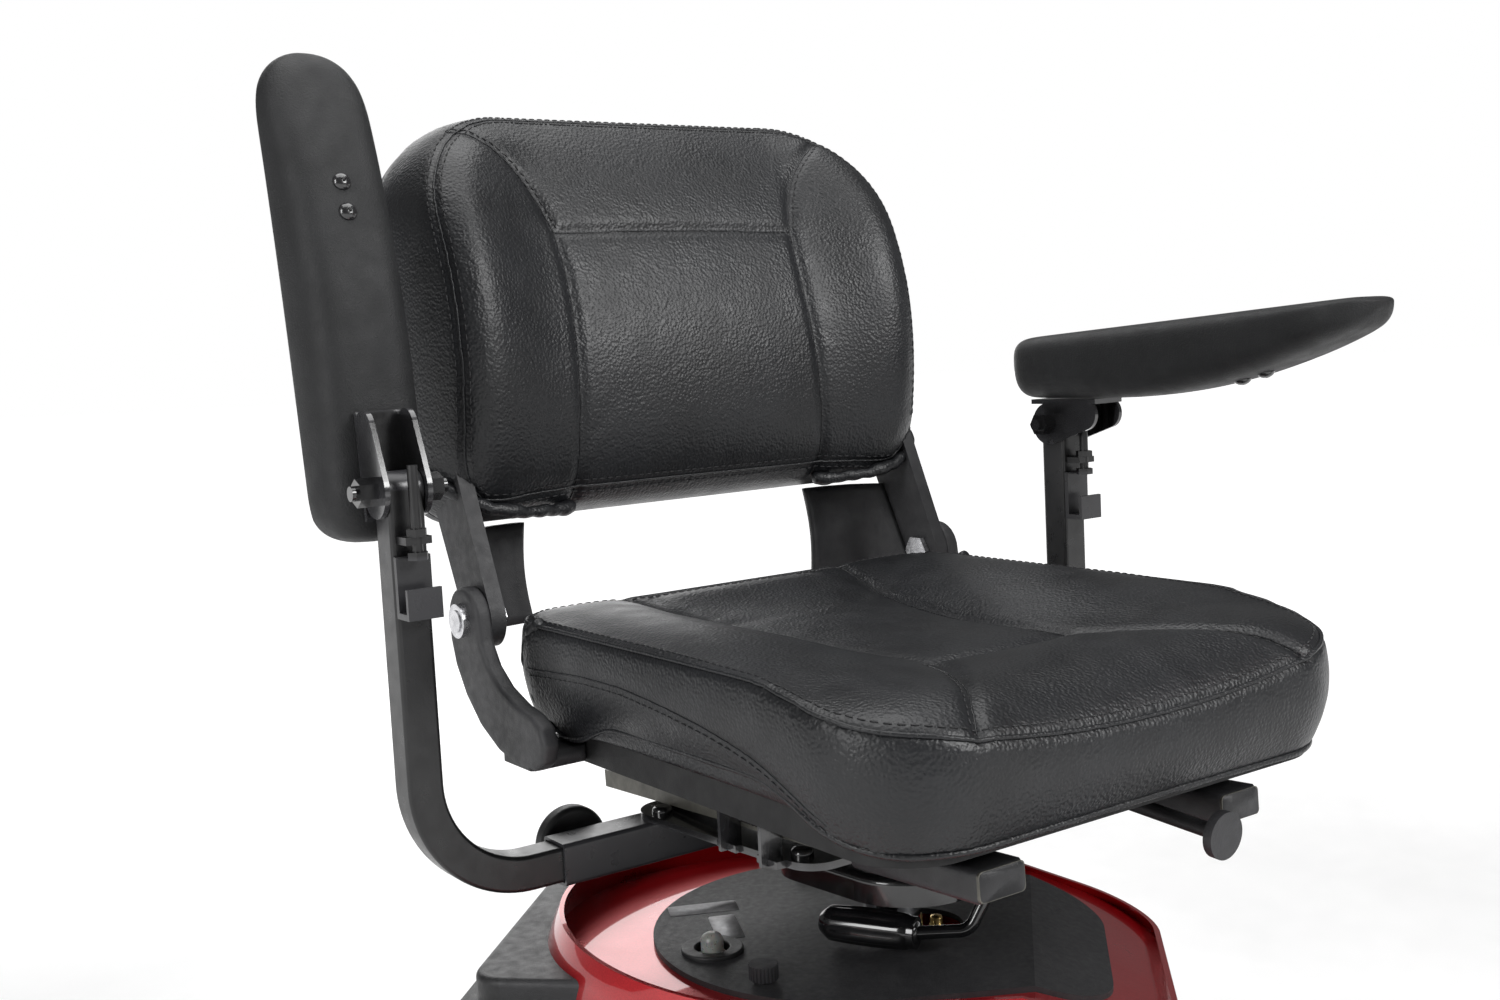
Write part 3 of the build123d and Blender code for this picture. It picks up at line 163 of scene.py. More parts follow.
# ---------------------------------------------------------------- mesh building
class Shape:
    """Points and faces of one piece, in millimetres of its own frame."""

    def __init__(self):
        self.points = []
        self.faces = []

    def add(self, points, faces):
        start = len(self.points)
        self.points.extend(tuple(float(v) for v in point) for point in points)
        self.faces.extend(tuple(start + index for index in face) for face in faces)

    def skin(self, rings, closed=False, capped=True):
        """Joins rings of points one after another."""
        size = len(rings[0])
        faces = []
        for row in range(len(rings) if closed else len(rings) - 1):
            after = (row + 1) % len(rings)
            for k in range(size):
                right = (k + 1) % size
                faces.append((row * size + k, row * size + right, after * size + right, after * size + k))
        if capped and not closed:
            faces.append(tuple(reversed(range(size))))
            faces.append(tuple(range((len(rings) - 1) * size, len(rings) * size)))
        self.add([point for ring in rings for point in ring], faces)

    def add_moved(self, other, matrix):
        """Takes in another shape, moved by a matrix."""
        self.add([matrix @ Vector(point) for point in other.points], other.faces)

    def tube(self, path, radius, sides=8, closed=False):
        """A round tube; the radius may be a number or a function of the way along."""
        path = [Vector(point) for point in path]
        rings = []
        normal = None
        for index, point in enumerate(path):
            ahead = path[(index + 1) % len(path)] if closed or index + 1 < len(path) else point
            behind = path[index - 1] if closed or index else point
            direction = (ahead - behind).normalized()
            if normal is None:
                normal = direction.orthogonal().normalized()
            normal = (normal - direction * normal.dot(direction)).normalized()
            side = direction.cross(normal)
            size = radius(index / max(1, len(path) - 1)) if callable(radius) else radius
            around = [normal * math.cos(a) + side * math.sin(a) for a in round_turns(sides)]
            rings.append([point + outward * size for outward in around])
        self.skin(rings, closed)

    def turned(self, profile, count=48):
        """A profile of (radius, height) pairs turned about z."""
        rings = []
        for radius, height in profile:
            turns = round_turns(count)
            rings.append([(radius * math.cos(a), radius * math.sin(a), height) for a in turns])
        self.skin(rings)

    def make(self, name, matrix, soften=0):
        """The piece itself, moved out of its own frame and subdivided soften times."""
        mesh = bpy.data.meshes.new(name)
        mesh.from_pydata([matrix @ Vector(point) for point in self.points], [], self.faces)
        mesh.update()
        made = bpy.data.objects.new(name, mesh)
        bpy.context.scene.collection.objects.link(made)
        if soften:
            subdivide(made, soften)
        made.data.shade_smooth()
        return made


def keep_evaluated(piece):
    """Applies a piece's modifiers."""
    graph = bpy.context.evaluated_depsgraph_get()
    mesh = bpy.data.meshes.new_from_object(piece.evaluated_get(graph))
    piece.modifiers.clear()
    piece.data = mesh
    piece.data.name = piece.name
    piece.data.shade_smooth()


def subdivide(piece, levels):
    modifier = piece.modifiers.new("subdivide", "SUBSURF")
    modifier.levels = levels
    modifier.render_levels = levels
    keep_evaluated(piece)


def coordinates(piece):
    points = np.empty(len(piece.data.vertices) * 3)
    piece.data.vertices.foreach_get("co", points)
    return points.reshape(-1, 3)


def normals(piece):
    values = np.empty(len(piece.data.vertices) * 3)
    piece.data.vertices.foreach_get("normal", values)
    return values.reshape(-1, 3)


def move_to(piece, points):
    piece.data.vertices.foreach_set("co", points.ravel())
    piece.data.update()


def place(piece, body, slot, finish=None, stands_for=None):
    """Gives a piece its body, and hides the CAD node that it replaces.

    Its finish is the one named after the slot, unless another is given."""
    piece.data.materials.clear()
    piece.data.materials.append(finishes[finish or slot])
    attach(piece, body)
    if stands_for:
        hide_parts(stands_for)


# ---------------------------------------------------------------- materials
class Shading:
    """A node material under construction. Sizes are in millimetres of the object's own space."""

    def __init__(self, name):
        self.material = bpy.data.materials.new(name)
        self.material.use_nodes = True
        self.tree = self.material.node_tree
        self.shader = self.tree.nodes["Principled BSDF"]
        self.place = self.node("ShaderNodeTexCoord").outputs["Object"]
        self.normal = None

    def node(self, kind, inputs=None, **settings):
        made = self.tree.nodes.new(kind)
        for key, value in settings.items():
            setattr(made, key, value)
        for key, value in (inputs or {}).items():
            if isinstance(value, bpy.types.NodeSocket):
                self.tree.links.new(value, made.inputs[key])
            else:
                made.inputs[key].default_value = value
        return made

    def noise(self, size, detail=3.0):
        inputs = {"Vector": self.place, "Scale": 1 / (size * MM), "Detail": detail}
        return self.node("ShaderNodeTexNoise", inputs).outputs[0]

    def cells(self, size, feature="SMOOTH_F1"):
        inputs = {"Vector": self.place, "Scale": 1 / (size * MM)}
        return self.node("ShaderNodeTexVoronoi", inputs, feature=feature).outputs["Distance"]

    def blend(self, share, low, high, start=0.35, end=0.65):
        """A colour that goes from low to high as share goes from start to end."""
        made = self.node("ShaderNodeValToRGB", {"Fac": share})
        made.color_ramp.elements[0].position = start
        made.color_ramp.elements[0].color = (*low, 1)
        made.color_ramp.elements[1].position = end
        made.color_ramp.elements[1].color = (*high, 1)
        return made.outputs["Color"]

    def spread(self, value, low, high):
        inputs = {"Value": value, "From Min": 0.3, "From Max": 0.7, "To Min": low, "To Max": high}
        return self.node("ShaderNodeMapRange", inputs).outputs["Result"]

    def worn(self, colour, bright):
        """Lightens sharp outer edges, as handling does."""
        bend = self.node("ShaderNodeNewGeometry").outputs["Pointiness"]
        limits = {"Value": bend, "From Min": 0.53, "From Max": 0.62, "To Min": 0.0, "To Max": 0.55}
        edge = self.node("ShaderNodeMapRange", limits).outputs["Result"]
        joined = self.node("ShaderNodeMix", {"Factor": edge}, data_type="RGBA")
        self.tree.links.new(colour, joined.inputs[6])
        joined.inputs[7].default_value = (*bright, 1)
        return joined.outputs[2]

    def bump(self, height, depth):
        inputs = {"Height": height, "Distance": depth * MM, "Strength": 1.0}
        if self.normal is not None:
            inputs["Normal"] = self.normal
        self.normal = self.node("ShaderNodeBump", inputs).outputs["Normal"]

    def join(self, colour, roughness):
        self.tree.links.new(colour, self.shader.inputs["Base Color"])
        self.tree.links.new(roughness, self.shader.inputs["Roughness"])
        if self.normal is not None:
            self.tree.links.new(self.normal, self.shader.inputs["Normal"])
        return self.material


finishes = {}


def add_finish(name, dark, light, rough, patch=30.0, bumps=(), cell_bumps=(), wear=None, **constants):
    """A finish: two close tones in patches, a band of roughness, and relief at one or more sizes."""
    made = Shading(name)
    tone = made.noise(patch, 5.0)
    colour = made.blend(tone, dark, light)
    if wear:
        colour = made.worn(colour, wear)
    for size, depth in cell_bumps:
        made.bump(made.cells(size), depth)
    for size, depth in bumps:
        made.bump(made.noise(size), depth)
    for socket, value in constants.items():
        made.shader.inputs[socket.replace("_", " ")].default_value = value
    finishes[name] = made.join(colour, made.spread(made.noise(patch * 0.4), *rough))


def red_finish():
    """Metallic red paint under a clear coat."""
    made = Shading("red_body")
    flakes = made.node(
        "ShaderNodeTexVoronoi", {"Vector": made.place, "Scale": 1 / (0.7 * MM)}
    ).outputs["Color"]
    share = made.node("ShaderNodeSeparateColor", {"Color": flakes}).outputs[0]
    colour = made.blend(share, (0.38, 0.0015, 0.006), (0.47, 0.006, 0.012), 0.1, 0.9)
    made.bump(made.noise(18), 0.05)
    settings = {"Metallic": 0.55, "Coat Weight": 1.0, "Coat Roughness": 0.03}
    for socket, value in settings.items():
        made.shader.inputs[socket].default_value = value
    return made.join(colour, made.spread(made.noise(40), 0.26, 0.36))


def add_see_through(name, dark, light, rough, weight, **extra):
    add_finish(
        name, dark, light, rough, patch=8, bumps=((3, 0.15),), Transmission_Weight=weight, **extra,
    )


# Grained black upholstery vinyl with slow waves in it
add_finish(
    "vinyl", (0.006, 0.0064, 0.0075), (0.010, 0.0107, 0.0125), (0.36, 0.47), patch=60,
    bumps=((0.7, 0.10), (45, 0.9)), cell_bumps=((2.1, 0.55),), Specular_IOR_Level=0.42,
    Coat_Weight=0.06, Coat_Roughness=0.3,
)
finishes["red_body"] = red_finish()
add_finish(
    "frame", (0.006, 0.006, 0.0065), (0.012, 0.012, 0.0125), (0.26, 0.38), bumps=((1.2, 0.05),),
    wear=(0.05, 0.05, 0.055),
)
add_finish(
    "red_moulding", (0.30, 0.0015, 0.005), (0.36, 0.005, 0.010), (0.5, 0.62),
    bumps=((0.9, 0.12),), Specular_IOR_Level=0.3,
)
add_finish(
    "battery", (0.05, 0.05, 0.055), (0.07, 0.07, 0.075), (0.5, 0.65), bumps=((0.8, 0.08),),
)
add_finish(
    "drive", (0.33, 0.34, 0.36), (0.46, 0.47, 0.49), (0.35, 0.55), bumps=((1.6, 0.25),), Metallic=1.0,
)
add_finish(
    "electronics", (0.02, 0.02, 0.024), (0.04, 0.04, 0.045), (0.45, 0.6), bumps=((0.6, 0.1),),
)
add_finish(
    "top_plate", (0.021, 0.021, 0.023), (0.029, 0.029, 0.031), (0.46, 0.6), patch=12,
    bumps=((0.5, 0.16), (1.4, 0.14)),
)
add_finish(
    "black_plastic", (0.010, 0.010, 0.011), (0.017, 0.017, 0.018), (0.40, 0.54), patch=20,
    bumps=((0.9, 0.22), (2.5, 0.12)), wear=(0.045, 0.045, 0.05),
)
# Near-black matte finish for the seat pan: painted shade, darker than the black plastic it is made of, standing in
# for the shadow under the cushion
add_finish(
    "painted_shade", (0.004, 0.004, 0.0045), (0.007, 0.007, 0.0075), (0.6, 0.75), bumps=((0.9, 0.2),),
)
add_finish(
    "moulding", (0.020, 0.020, 0.022), (0.032, 0.032, 0.034), (0.48, 0.62), patch=16,
    bumps=((0.8, 0.25), (2.2, 0.14)),
)
add_finish(
    "gloss_black", (0.004, 0.004, 0.0045), (0.008, 0.008, 0.009), (0.12, 0.22), bumps=((25, 0.05),),
    Coat_Weight=0.6, Coat_Roughness=0.06,
)
add_finish(
    "gloss_steel", (0.004, 0.004, 0.0045), (0.009, 0.009, 0.0095), (0.16, 0.27),
    bumps=((7, 0.05), (60, 0.1)), wear=(0.06, 0.06, 0.065), Coat_Weight=0.7, Coat_Roughness=0.1,
)
add_see_through(
    "boot", (0.55, 0.55, 0.52), (0.74, 0.74, 0.71), (0.25, 0.40), 0.55, Subsurface_Weight=0.2,
)
add_finish(
    "reflector", (0.45, 0.006, 0.008), (0.70, 0.015, 0.02), (0.08, 0.16), patch=6,
    cell_bumps=((4.0, 0.9),), Coat_Weight=1.0,
)
add_finish(
    "mat", (0.012, 0.012, 0.013), (0.022, 0.022, 0.022), (0.6, 0.8), bumps=((0.8, 0.2),),
)
add_finish(
    "tyre", (0.016, 0.016, 0.016), (0.030, 0.029, 0.028), (0.62, 0.82), patch=25,
    bumps=((0.7, 0.15), (5, 0.15)),
)
add_finish(
    "rim", (0.42, 0.43, 0.45), (0.52, 0.53, 0.55), (0.25, 0.36), bumps=((0.5, 0.03),), Metallic=0.85,
    Coat_Weight=0.4,
)
add_finish(
    "chrome", (0.70, 0.71, 0.73), (0.82, 0.83, 0.85), (0.04, 0.12), bumps=((50, 0.02),), Metallic=1.0,
)
add_finish(
    "rail", (0.085, 0.083, 0.072), (0.135, 0.13, 0.112), (0.34, 0.5), patch=14, bumps=((1.0, 0.08),),
    Metallic=0.55,
)
add_finish(
    "pad_foam", (0.007, 0.0073, 0.008), (0.0115, 0.012, 0.013), (0.50, 0.64), patch=40,
    bumps=((0.7, 0.32), (1.6, 0.3)), Specular_IOR_Level=0.38,
)
add_finish(
    "grip", (0.012, 0.012, 0.012), (0.02, 0.02, 0.02), (0.5, 0.66), bumps=((0.6, 0.12),),
)
add_see_through("lens", (0.90, 0.92, 0.95), (0.97, 0.98, 1.0), (0.03, 0.08), 0.9)
add_finish(
    "basket", (0.010, 0.010, 0.010), (0.018, 0.018, 0.018), (0.3, 0.45), bumps=((1.5, 0.1),),
)
add_finish(
    "dial", (0.03, 0.03, 0.032), (0.05, 0.05, 0.052), (0.35, 0.5), bumps=((0.6, 0.06),),
)
add_finish(
    "button", (0.50, 0.03, 0.015), (0.62, 0.05, 0.03), (0.2, 0.3),
    bumps=((2, 0.05),), Coat_Weight=0.5,
)
add_finish(
    "steel", (0.50, 0.50, 0.52), (0.66, 0.66, 0.68), (0.2, 0.36), patch=6,
    bumps=((0.4, 0.04),), Metallic=1.0,
)
add_finish(
    "brass", (0.48, 0.33, 0.12), (0.62, 0.45, 0.18), (0.22, 0.4), patch=5,
    bumps=((0.5, 0.05),), Metallic=1.0,
)
add_finish(
    "foil", (0.34, 0.34, 0.35), (0.44, 0.44, 0.45), (0.45, 0.6), patch=5,
    bumps=((0.3, 0.02),), Metallic=0.25,
)
add_finish(
    "thread", (0.010, 0.010, 0.011), (0.022, 0.022, 0.024), (0.5, 0.7), bumps=((0.3, 0.1),),
)
add_finish(
    "marking", (0.70, 0.70, 0.68), (0.82, 0.82, 0.80), (0.4, 0.55), bumps=((0.5, 0.02),),
)


OWN_FINISH = {
    # the seat pan takes painted shade: darker than its black plastic, for the shadow under the cushion
    "seat_pan": "painted_shade",
    "backrest_arms": "moulding",
    "hinge_bolts": "steel",
    "handlebar": "frame",
    "console": "red_moulding",
}


def dress_cad_nodes():
    """Each CAD node takes the finish of its record slot, or one of its own."""
    for part in frame["record"]["subparts"]:
        node = nodes[part["node"]]
        node.data.materials.clear()
        node.data.materials.append(finishes[OWN_FINISH.get(part["node"], part["material_slot"])])


# ---------------------------------------------------------------- upholstery
STITCH = 4.6
STITCH_GAP = 2.6
HELD_NEAR_SEAM = 3.2
CLOTH_FRAMES = 20


def swell(piece, seams, still, voxel=5.0, cap=7.0, pressure=4.0):
    """Puffs a closed cushion up between its pinned seams by cloth simulation.

    still is a function of the points that is true where the cover is held."""
    remesh = piece.modifiers.new("remesh", "REMESH")
    remesh.mode = "VOXEL"
    remesh.voxel_size = voxel * MM
    keep_evaluated(piece)
    rest = coordinates(piece)
    held = still(rest)
    for seam in seams:
        held |= distance_to_path(rest, seam) < HELD_NEAR_SEAM * MM
    group = piece.vertex_groups.new(name="held")
    group.add([int(index) for index in np.flatnonzero(held)], 1.0, "REPLACE")
    cloth = piece.modifiers.new("cloth", "CLOTH")
    cloth.settings.quality = 5
    cloth.settings.mass = 0.3
    cloth.settings.tension_stiffness = 12
    cloth.settings.compression_stiffness = 12
    cloth.settings.bending_stiffness = 1.5
    cloth.settings.use_pressure = True
    cloth.settings.uniform_pressure_force = pressure
    cloth.settings.vertex_group_mass = "held"
    cloth.settings.effector_weights.gravity = 0
    cloth.collision_settings.use_collision = False
    for number in range(1, CLOTH_FRAMES + 1):
        bpy.context.scene.frame_set(number)
    graph = bpy.context.evaluated_depsgraph_get()
    swollen = np.empty(len(rest) * 3)
    piece.evaluated_get(graph).data.vertices.foreach_get("co", swollen)
    shift = swollen.reshape(-1, 3) - rest
    length = np.linalg.norm(shift, axis=1, keepdims=True)
    limit = cap * MM
    shift *= np.tanh(length / limit) * limit / np.maximum(length, 1e-9)
    piece.modifiers.clear()
    piece.vertex_groups.clear()
    bpy.context.scene.frame_set(1)
    move_to(piece, rest + shift)
    subdivide(piece, 1)


def press_seams(piece, seams, depth, width):
    """Draws the cover in along its seams."""
    points = coordinates(piece)
    outward = normals(piece)
    away = np.full(len(points), 1e9)
    for seam in seams:
        away = np.minimum(away, distance_to_path(points, seam))
    pull = depth * MM * np.exp(-((away / (width * MM)) ** 2))
    move_to(piece, points - outward * pull[:, None])


def on_surface(tree, points, lift):
    """Points dropped onto a cover, with the cover's normals."""
    found = []
    for point in points:
        spot, normal, _, _ = tree.find_nearest(Vector(point))
        found.append((spot + normal * lift * MM, normal))
    return found


def sew(name, cover, seams, body, rows, welt=0.8, lift=0.0):
    """A welt along each seam, and rows of stitches beside it, on the finished cover."""
    tree = BVHTree.FromObject(cover, bpy.context.evaluated_depsgraph_get())
    welts = Shape()
    stitches = Shape()
    to_mm = 1 / MM
    for seam in seams:
        length = np.linalg.norm(np.diff(seam, axis=0), axis=1).sum() * to_mm
        line = on_surface(tree, resample(seam, max(4, int(length / 4))), lift)
        welts.tube([spot * to_mm for spot, _ in line], welt, 6)
        fine = on_surface(tree, resample(seam, max(8, int(length / 1.2))), 0)
        for row in rows:
            path = []
            for index, (spot, normal) in enumerate(fine):
                ahead = fine[min(index + 1, len(fine) - 1)][0]
                behind = fine[max(index - 1, 0)][0]
                side = (ahead - behind).normalized().cross(normal)
                path.append(spot + side * row * MM)
            path = np.array([spot for spot, _ in on_surface(tree, path, 0.25)]) * to_mm
            along = np.concatenate([[0], np.cumsum(np.linalg.norm(np.diff(path, axis=0), axis=1))])
            start = STITCH_GAP
            while start + STITCH < along[-1]:
                at = np.linspace(start, start + STITCH, 4)
                points = np.stack([np.interp(at, along, path[:, k]) for k in range(3)], 1)
                stitches.tube(points, lambda t: 0.35 + 0.25 * math.sin(math.pi * t), 5)
                start += STITCH + STITCH_GAP
    place(welts.make(name + "_welts", SHARED), body, "vinyl")
    if stitches.points:
        place(stitches.make(name + "_stitches", SHARED), body, "vinyl", finish="thread")


def to_frame(matrix, path):
    """A path in metres of the shared frame."""
    return np.array([matrix @ Vector(point) for point in path])


# Seat cushion, in the seat's own frame
SEAT_HALF = 207.0
SEAT_FRONT = -246.0
SEAT_REAR = 180.0
SEAT_LOW = 527.0
SIDE_RIM = 603.0
VALLEY_Y = -118.0
SEAT_HELD_BELOW = 545.0
HEM_ENDS_AT = 120
seat_outline = rounded_rectangle(SEAT_HALF, SEAT_FRONT, SEAT_REAR, 72, 46, 176)
seat_centre = np.array([0, (SEAT_FRONT + SEAT_REAR) / 2])


def seat_rim(x, y):
    """Height of the seam round the top, lowest at the middle of the front."""
    dip = 38 * ramp(-y, 120, 246) * (1 - 0.45 * np.clip(np.abs(x) / 172, 0, 1) ** 2)
    return SIDE_RIM - dip


def seat_top(x, y):
    """Height of the top: side bolsters, a sunk middle panel and a front roll."""
    points = np.stack([x, y], 1)
    edge = distance_to_path(points, np.vstack([seat_outline, seat_outline[:1]]))
    middle = 583 + 4 * ramp(-y, 0, 110) + 10 * ramp(y, 90, 180)
    bolster = 607 - 13 * ramp(-y, 20, 210)
    crest = mix(middle, bolster, ramp(np.abs(x), 58, 140))
    roll = 592 + 4 * ramp(np.abs(x), 60, 150)
    crest = mix(crest, roll, ramp(-y, 116, 172))
    near = np.clip(1 - edge / 52, 0, 1) ** 2.3
    return crest - (crest - seat_rim(x, y)) * near


def seat_hem(y):
    """Height of the cover's lower edge: high at the sides, lower behind, lowest in front."""
    return 541 - 17 * ramp(y, 40, 100) - 28 * ramp(-y, 110, 225)


def inset(outline, centre, amount):
    """An outline moved towards its centre by about the amount."""
    out = outline - centre
    return outline - out / np.linalg.norm(out, axis=1, keepdims=True) * amount


def seat_rings():
    rings = []
    for share in np.linspace(0.04, 1, 26):
        flat = seat_centre + (seat_outline - seat_centre) * share
        rings.append(np.column_stack([flat, seat_top(flat[:, 0], flat[:, 1])]))
    top = rings[-1][:, 2]
    low = seat_hem(seat_outline[:, 1])
    for share in (0.12, 0.3, 0.5, 0.7, 0.88, 1.0):
        flat = inset(seat_outline, seat_centre, 9 * share**2 - 5 * math.sin(math.pi * share))
        rings.append(np.column_stack([flat, mix(top, low, share)]))
    lower = np.minimum(low, SEAT_LOW)
    for amount, level in ((12, lower), (19, lower), (20, np.full(len(low), SEAT_LOW))):
        rings.append(np.column_stack([inset(seat_outline, seat_centre, amount), level]))
    for share in (0.6, 0.2, 0.04):
        flat = seat_centre + (seat_outline - seat_centre) * share
        rings.append(np.column_stack([flat, np.full(len(flat), SEAT_LOW)]))
    return rings


def seat_path(points, count):
    """A seam on the top of the seat from points (x, y)."""
    flat = smooth_path(points, count)
    return np.column_stack([flat, seat_top(flat[:, 0], flat[:, 1])])


def make_seat_cushion():
    panel_side = seat_path(((106, 176), (84, 96), (70, 10), (66, -60), (62, VALLEY_Y)), 40)
    valley = seat_path(((-62, VALLEY_Y), (0, VALLEY_Y - 6), (62, VALLEY_Y)), 24)
    mitre = seat_path(((62, VALLEY_Y), (84, -158), (111, -204), (140, -243)), 28)
    round_top = np.column_stack([seat_outline, seat_rim(seat_outline[:, 0], seat_outline[:, 1])])
    round_top = np.vstack([round_top, round_top[:1]])
    down_side = (
        (205, 140, 570), (207, 39, 577), (207, -34, 572),
        (205, -100, 562), (198, -165, 541), (186, -205, 520),
    )
    side_seam = smooth_path(down_side, 40)
    top_seams = [to_frame(SEAT, path) for path in [valley] + mirrored([panel_side, mitre])]
    edge_seams = [to_frame(SEAT, path) for path in [round_top] + mirrored([side_seam])]
    shape = Shape()
    shape.skin(seat_rings())
    cushion = shape.make("seat_cushion_cover", SEAT)
    swell(cushion, top_seams + edge_seams, lambda points: points[:, 2] < SEAT_HELD_BELOW * MM)
    press_seams(cushion, top_seams, depth=2.6, width=5.5)
    press_seams(cushion, edge_seams, depth=1.2, width=3.5)
    place(cushion, "seat", "vinyl", stands_for="seat_cushion")
    sew("seat_edge", cushion, edge_seams[:1], "seat", rows=(-6.5,), welt=1.5, lift=0.6)
    sew("seat_side", cushion, edge_seams[1:], "seat", rows=(4.5,), welt=0.7)
    sew("seat_panel", cushion, top_seams[:3], "seat", rows=(), welt=0.6)
    sew("seat_mitre", cushion, top_seams[3:] + top_seams[2:3], "seat", rows=(4.0,), welt=0.6)
    make_seat_hem()


def make_seat_hem():
    """Bound lower edge of the cover, and the folded ends beside the hinges."""
    shape = Shape()
    flat = inset(seat_outline, seat_centre, 10)[::-1]
    hem = np.column_stack([flat, seat_hem(flat[:, 1])])
    kept = hem[:, 1] < HEM_ENDS_AT
    start = int(np.flatnonzero(kept & ~np.roll(kept, 1))[0])
    path = resample(np.roll(hem, -start, axis=0)[np.roll(kept, -start)], 150)
    shape.tube(path, lambda t: 2.3 + 0.35 * math.sin(90 * t) * math.sin(37 * t), 8)
    for side in (-1, 1):
        down_end = (
            (side * 203.5, 126, 603), (side * 203.5, 146, 593), (side * 201.5, 153, 566),
            (side * 200.5, 135, 540), (side * 196, 108, 525),
        )
        fold = smooth_path(down_end, 40)
        shape.tube(fold, lambda t: 5.0 + 0.7 * math.sin(23 * t) + 0.4 * math.sin(51 * t + 1), 10)
    place(shape.make("seat_cover_hem", SEAT, 1), "seat", "vinyl")


# Backrest cushion, in the backrest's own frame: x across, y up, z forward
BACK_HALF = 237.0
BACK_TALL = 320.0
BACK_DEEP = -43.6
CROWN = 34.0
BOLSTER = 56.0
BACK_HELD_BEHIND = -34
EDGE_START = 8  # the edge seam starts this many outline points up the right side
EDGE_LOW = 12  # and it leaves out the points below this, so it runs straight along the bottom
back_outline = rounded_rectangle(BACK_HALF, 2, BACK_TALL, 44, 100, 176)
back_centre = np.array([0, BACK_TALL / 2])
FACE_SCALE = np.array([0.918, 0.972])
face_outline = back_centre + (back_outline - back_centre) * FACE_SCALE


def back_face(x, h):
    """How far forward the front stands: a crowned middle between fuller side bolsters."""
    middle = CROWN * np.sin(math.pi * np.clip(h / 300, 0, 1) ** 0.8)
    bolster = BOLSTER * np.sin(math.pi * np.clip((h + 40) / 375, 0, 1) ** 1.05)
    face = mix(middle, np.maximum(middle, bolster), ramp(np.abs(x), 112, 205))
    points = np.stack([x, h], 1)
    edge = distance_to_path(points, np.vstack([face_outline, face_outline[:1]]))
    return face - 11 * np.clip(1 - edge / 30, 0, 1) ** 2


def back_rings():
    rings = []
    for share in np.linspace(0.04, 1, 26):
        flat = back_centre + (face_outline - back_centre) * share
        rings.append(np.column_stack([flat, back_face(flat[:, 0], flat[:, 1])]))
    front = rings[-1][:, 2]
    for share in (0.1, 0.25, 0.45, 0.7, 0.9, 1.0):
        out = math.sin(share * math.pi / 2) ** 0.8
        flat = mix(face_outline, back_outline, out)
        rings.append(np.column_stack([flat, mix(front, BACK_DEEP, share)]))
    for share in (0.94, 0.6, 0.2, 0.04):
        flat = back_centre + (back_outline - back_centre) * share
        rings.append(np.column_stack([flat, np.full(len(flat), BACK_DEEP)]))
    return rings


def back_path(points, count):
    flat = smooth_path(points, count)
    return np.column_stack([flat, back_face(flat[:, 0], flat[:, 1])])


def make_backrest_cushion():
    yoke = back_path(((-114, 215), (0, 217), (114, 215)), 40)
    corner = back_path(((114, 215), (127, 256), (148, 285), (184, 309)), 26)
    upright = back_path(((114, 215), (112, 168), (115, 105), (118, 45), (119, 3)), 40)
    edge = np.column_stack([face_outline, back_face(face_outline[:, 0], face_outline[:, 1])])
    edge = np.roll(edge, -EDGE_START, axis=0)
    edge_seams = [to_frame(BACK, edge[edge[:, 1] > EDGE_LOW])]
    panel_seams = [to_frame(BACK, path) for path in [yoke] + mirrored([corner, upright])]
    shape = Shape()
    shape.skin(back_rings())
    cushion = shape.make("backrest_cushion_cover", BACK)
    to_back = np.array(BACK.inverted())

    def still(points):
        return points @ to_back[2, :3] + to_back[2, 3] < BACK_HELD_BEHIND

    swell(cushion, panel_seams + edge_seams, still)
    press_seams(cushion, panel_seams, depth=2.4, width=5.0)
    press_seams(cushion, edge_seams, depth=1.6, width=3.5)
    place(cushion, "backrest", "vinyl", stands_for="backrest_cushion")
    corner_seams = panel_seams[1:2] + panel_seams[3:4]
    sew("backrest_edge", cushion, edge_seams, "backrest", rows=(-5.5, 5.5), welt=1.0, lift=0.2)
    sew("backrest_panel", cushion, panel_seams, "backrest", rows=(), welt=0.6)
    sew("backrest_corner", cushion, corner_seams, "backrest", rows=(4.0,), welt=0.5)
    make_backrest_hem()


def make_backrest_hem():
    """Rolled, bunched lower edge of the cover at each arm."""
    shape = Shape()
    for side in (-1, 1):
        round_corner = (
            (side * 118, 4, -4), (side * 160, 2, 12), (side * 200, 8, 16),
            (side * 230, 30, 4), (side * 238, 44, -20), (side * 238, 46, -42),
        )
        path = smooth_path(round_corner, 60)
        steps = np.arange(len(path))
        path[:, 1] += 0.5 * np.sin(steps * 1.3) + 0.4 * np.sin(steps * 0.57 + 1)
        shape.tube(path, lambda t: 5.2 + 1.1 * math.sin(29 * t) * math.sin(11 * t + 1), 10)
    place(shape.make("backrest_cover_hem", BACK, 1), "backrest", "vinyl")


# ---------------------------------------------------------------- arm pads
PAD_HALF = 38.5
PAD_REAR = 34.0
PAD_TIP = -307.0
PAD_UNDER = 21.6
PAD_ARC = 528.0
PAD_LEVEL = -72.0
HEEL_LENGTH = 30
TIP_LENGTH = 52
SCREWS_AT = (-187, -208)
SCREW_DOME = (
    (6.4, 0), (6.4, 1.2), (5.6, 2.6), (4.0, 3.8), (2.0, 4.5), (1.6, 4.5), (1.2, 2.6), (0.2, 2.5),
)


def pad_under(y):
    """Height of the underside: level at the heel, then rising in an arc to the tip."""
    reach = np.clip(PAD_LEVEL - y, 0, None)
    return PAD_UNDER + PAD_ARC - np.sqrt(PAD_ARC**2 - reach**2)


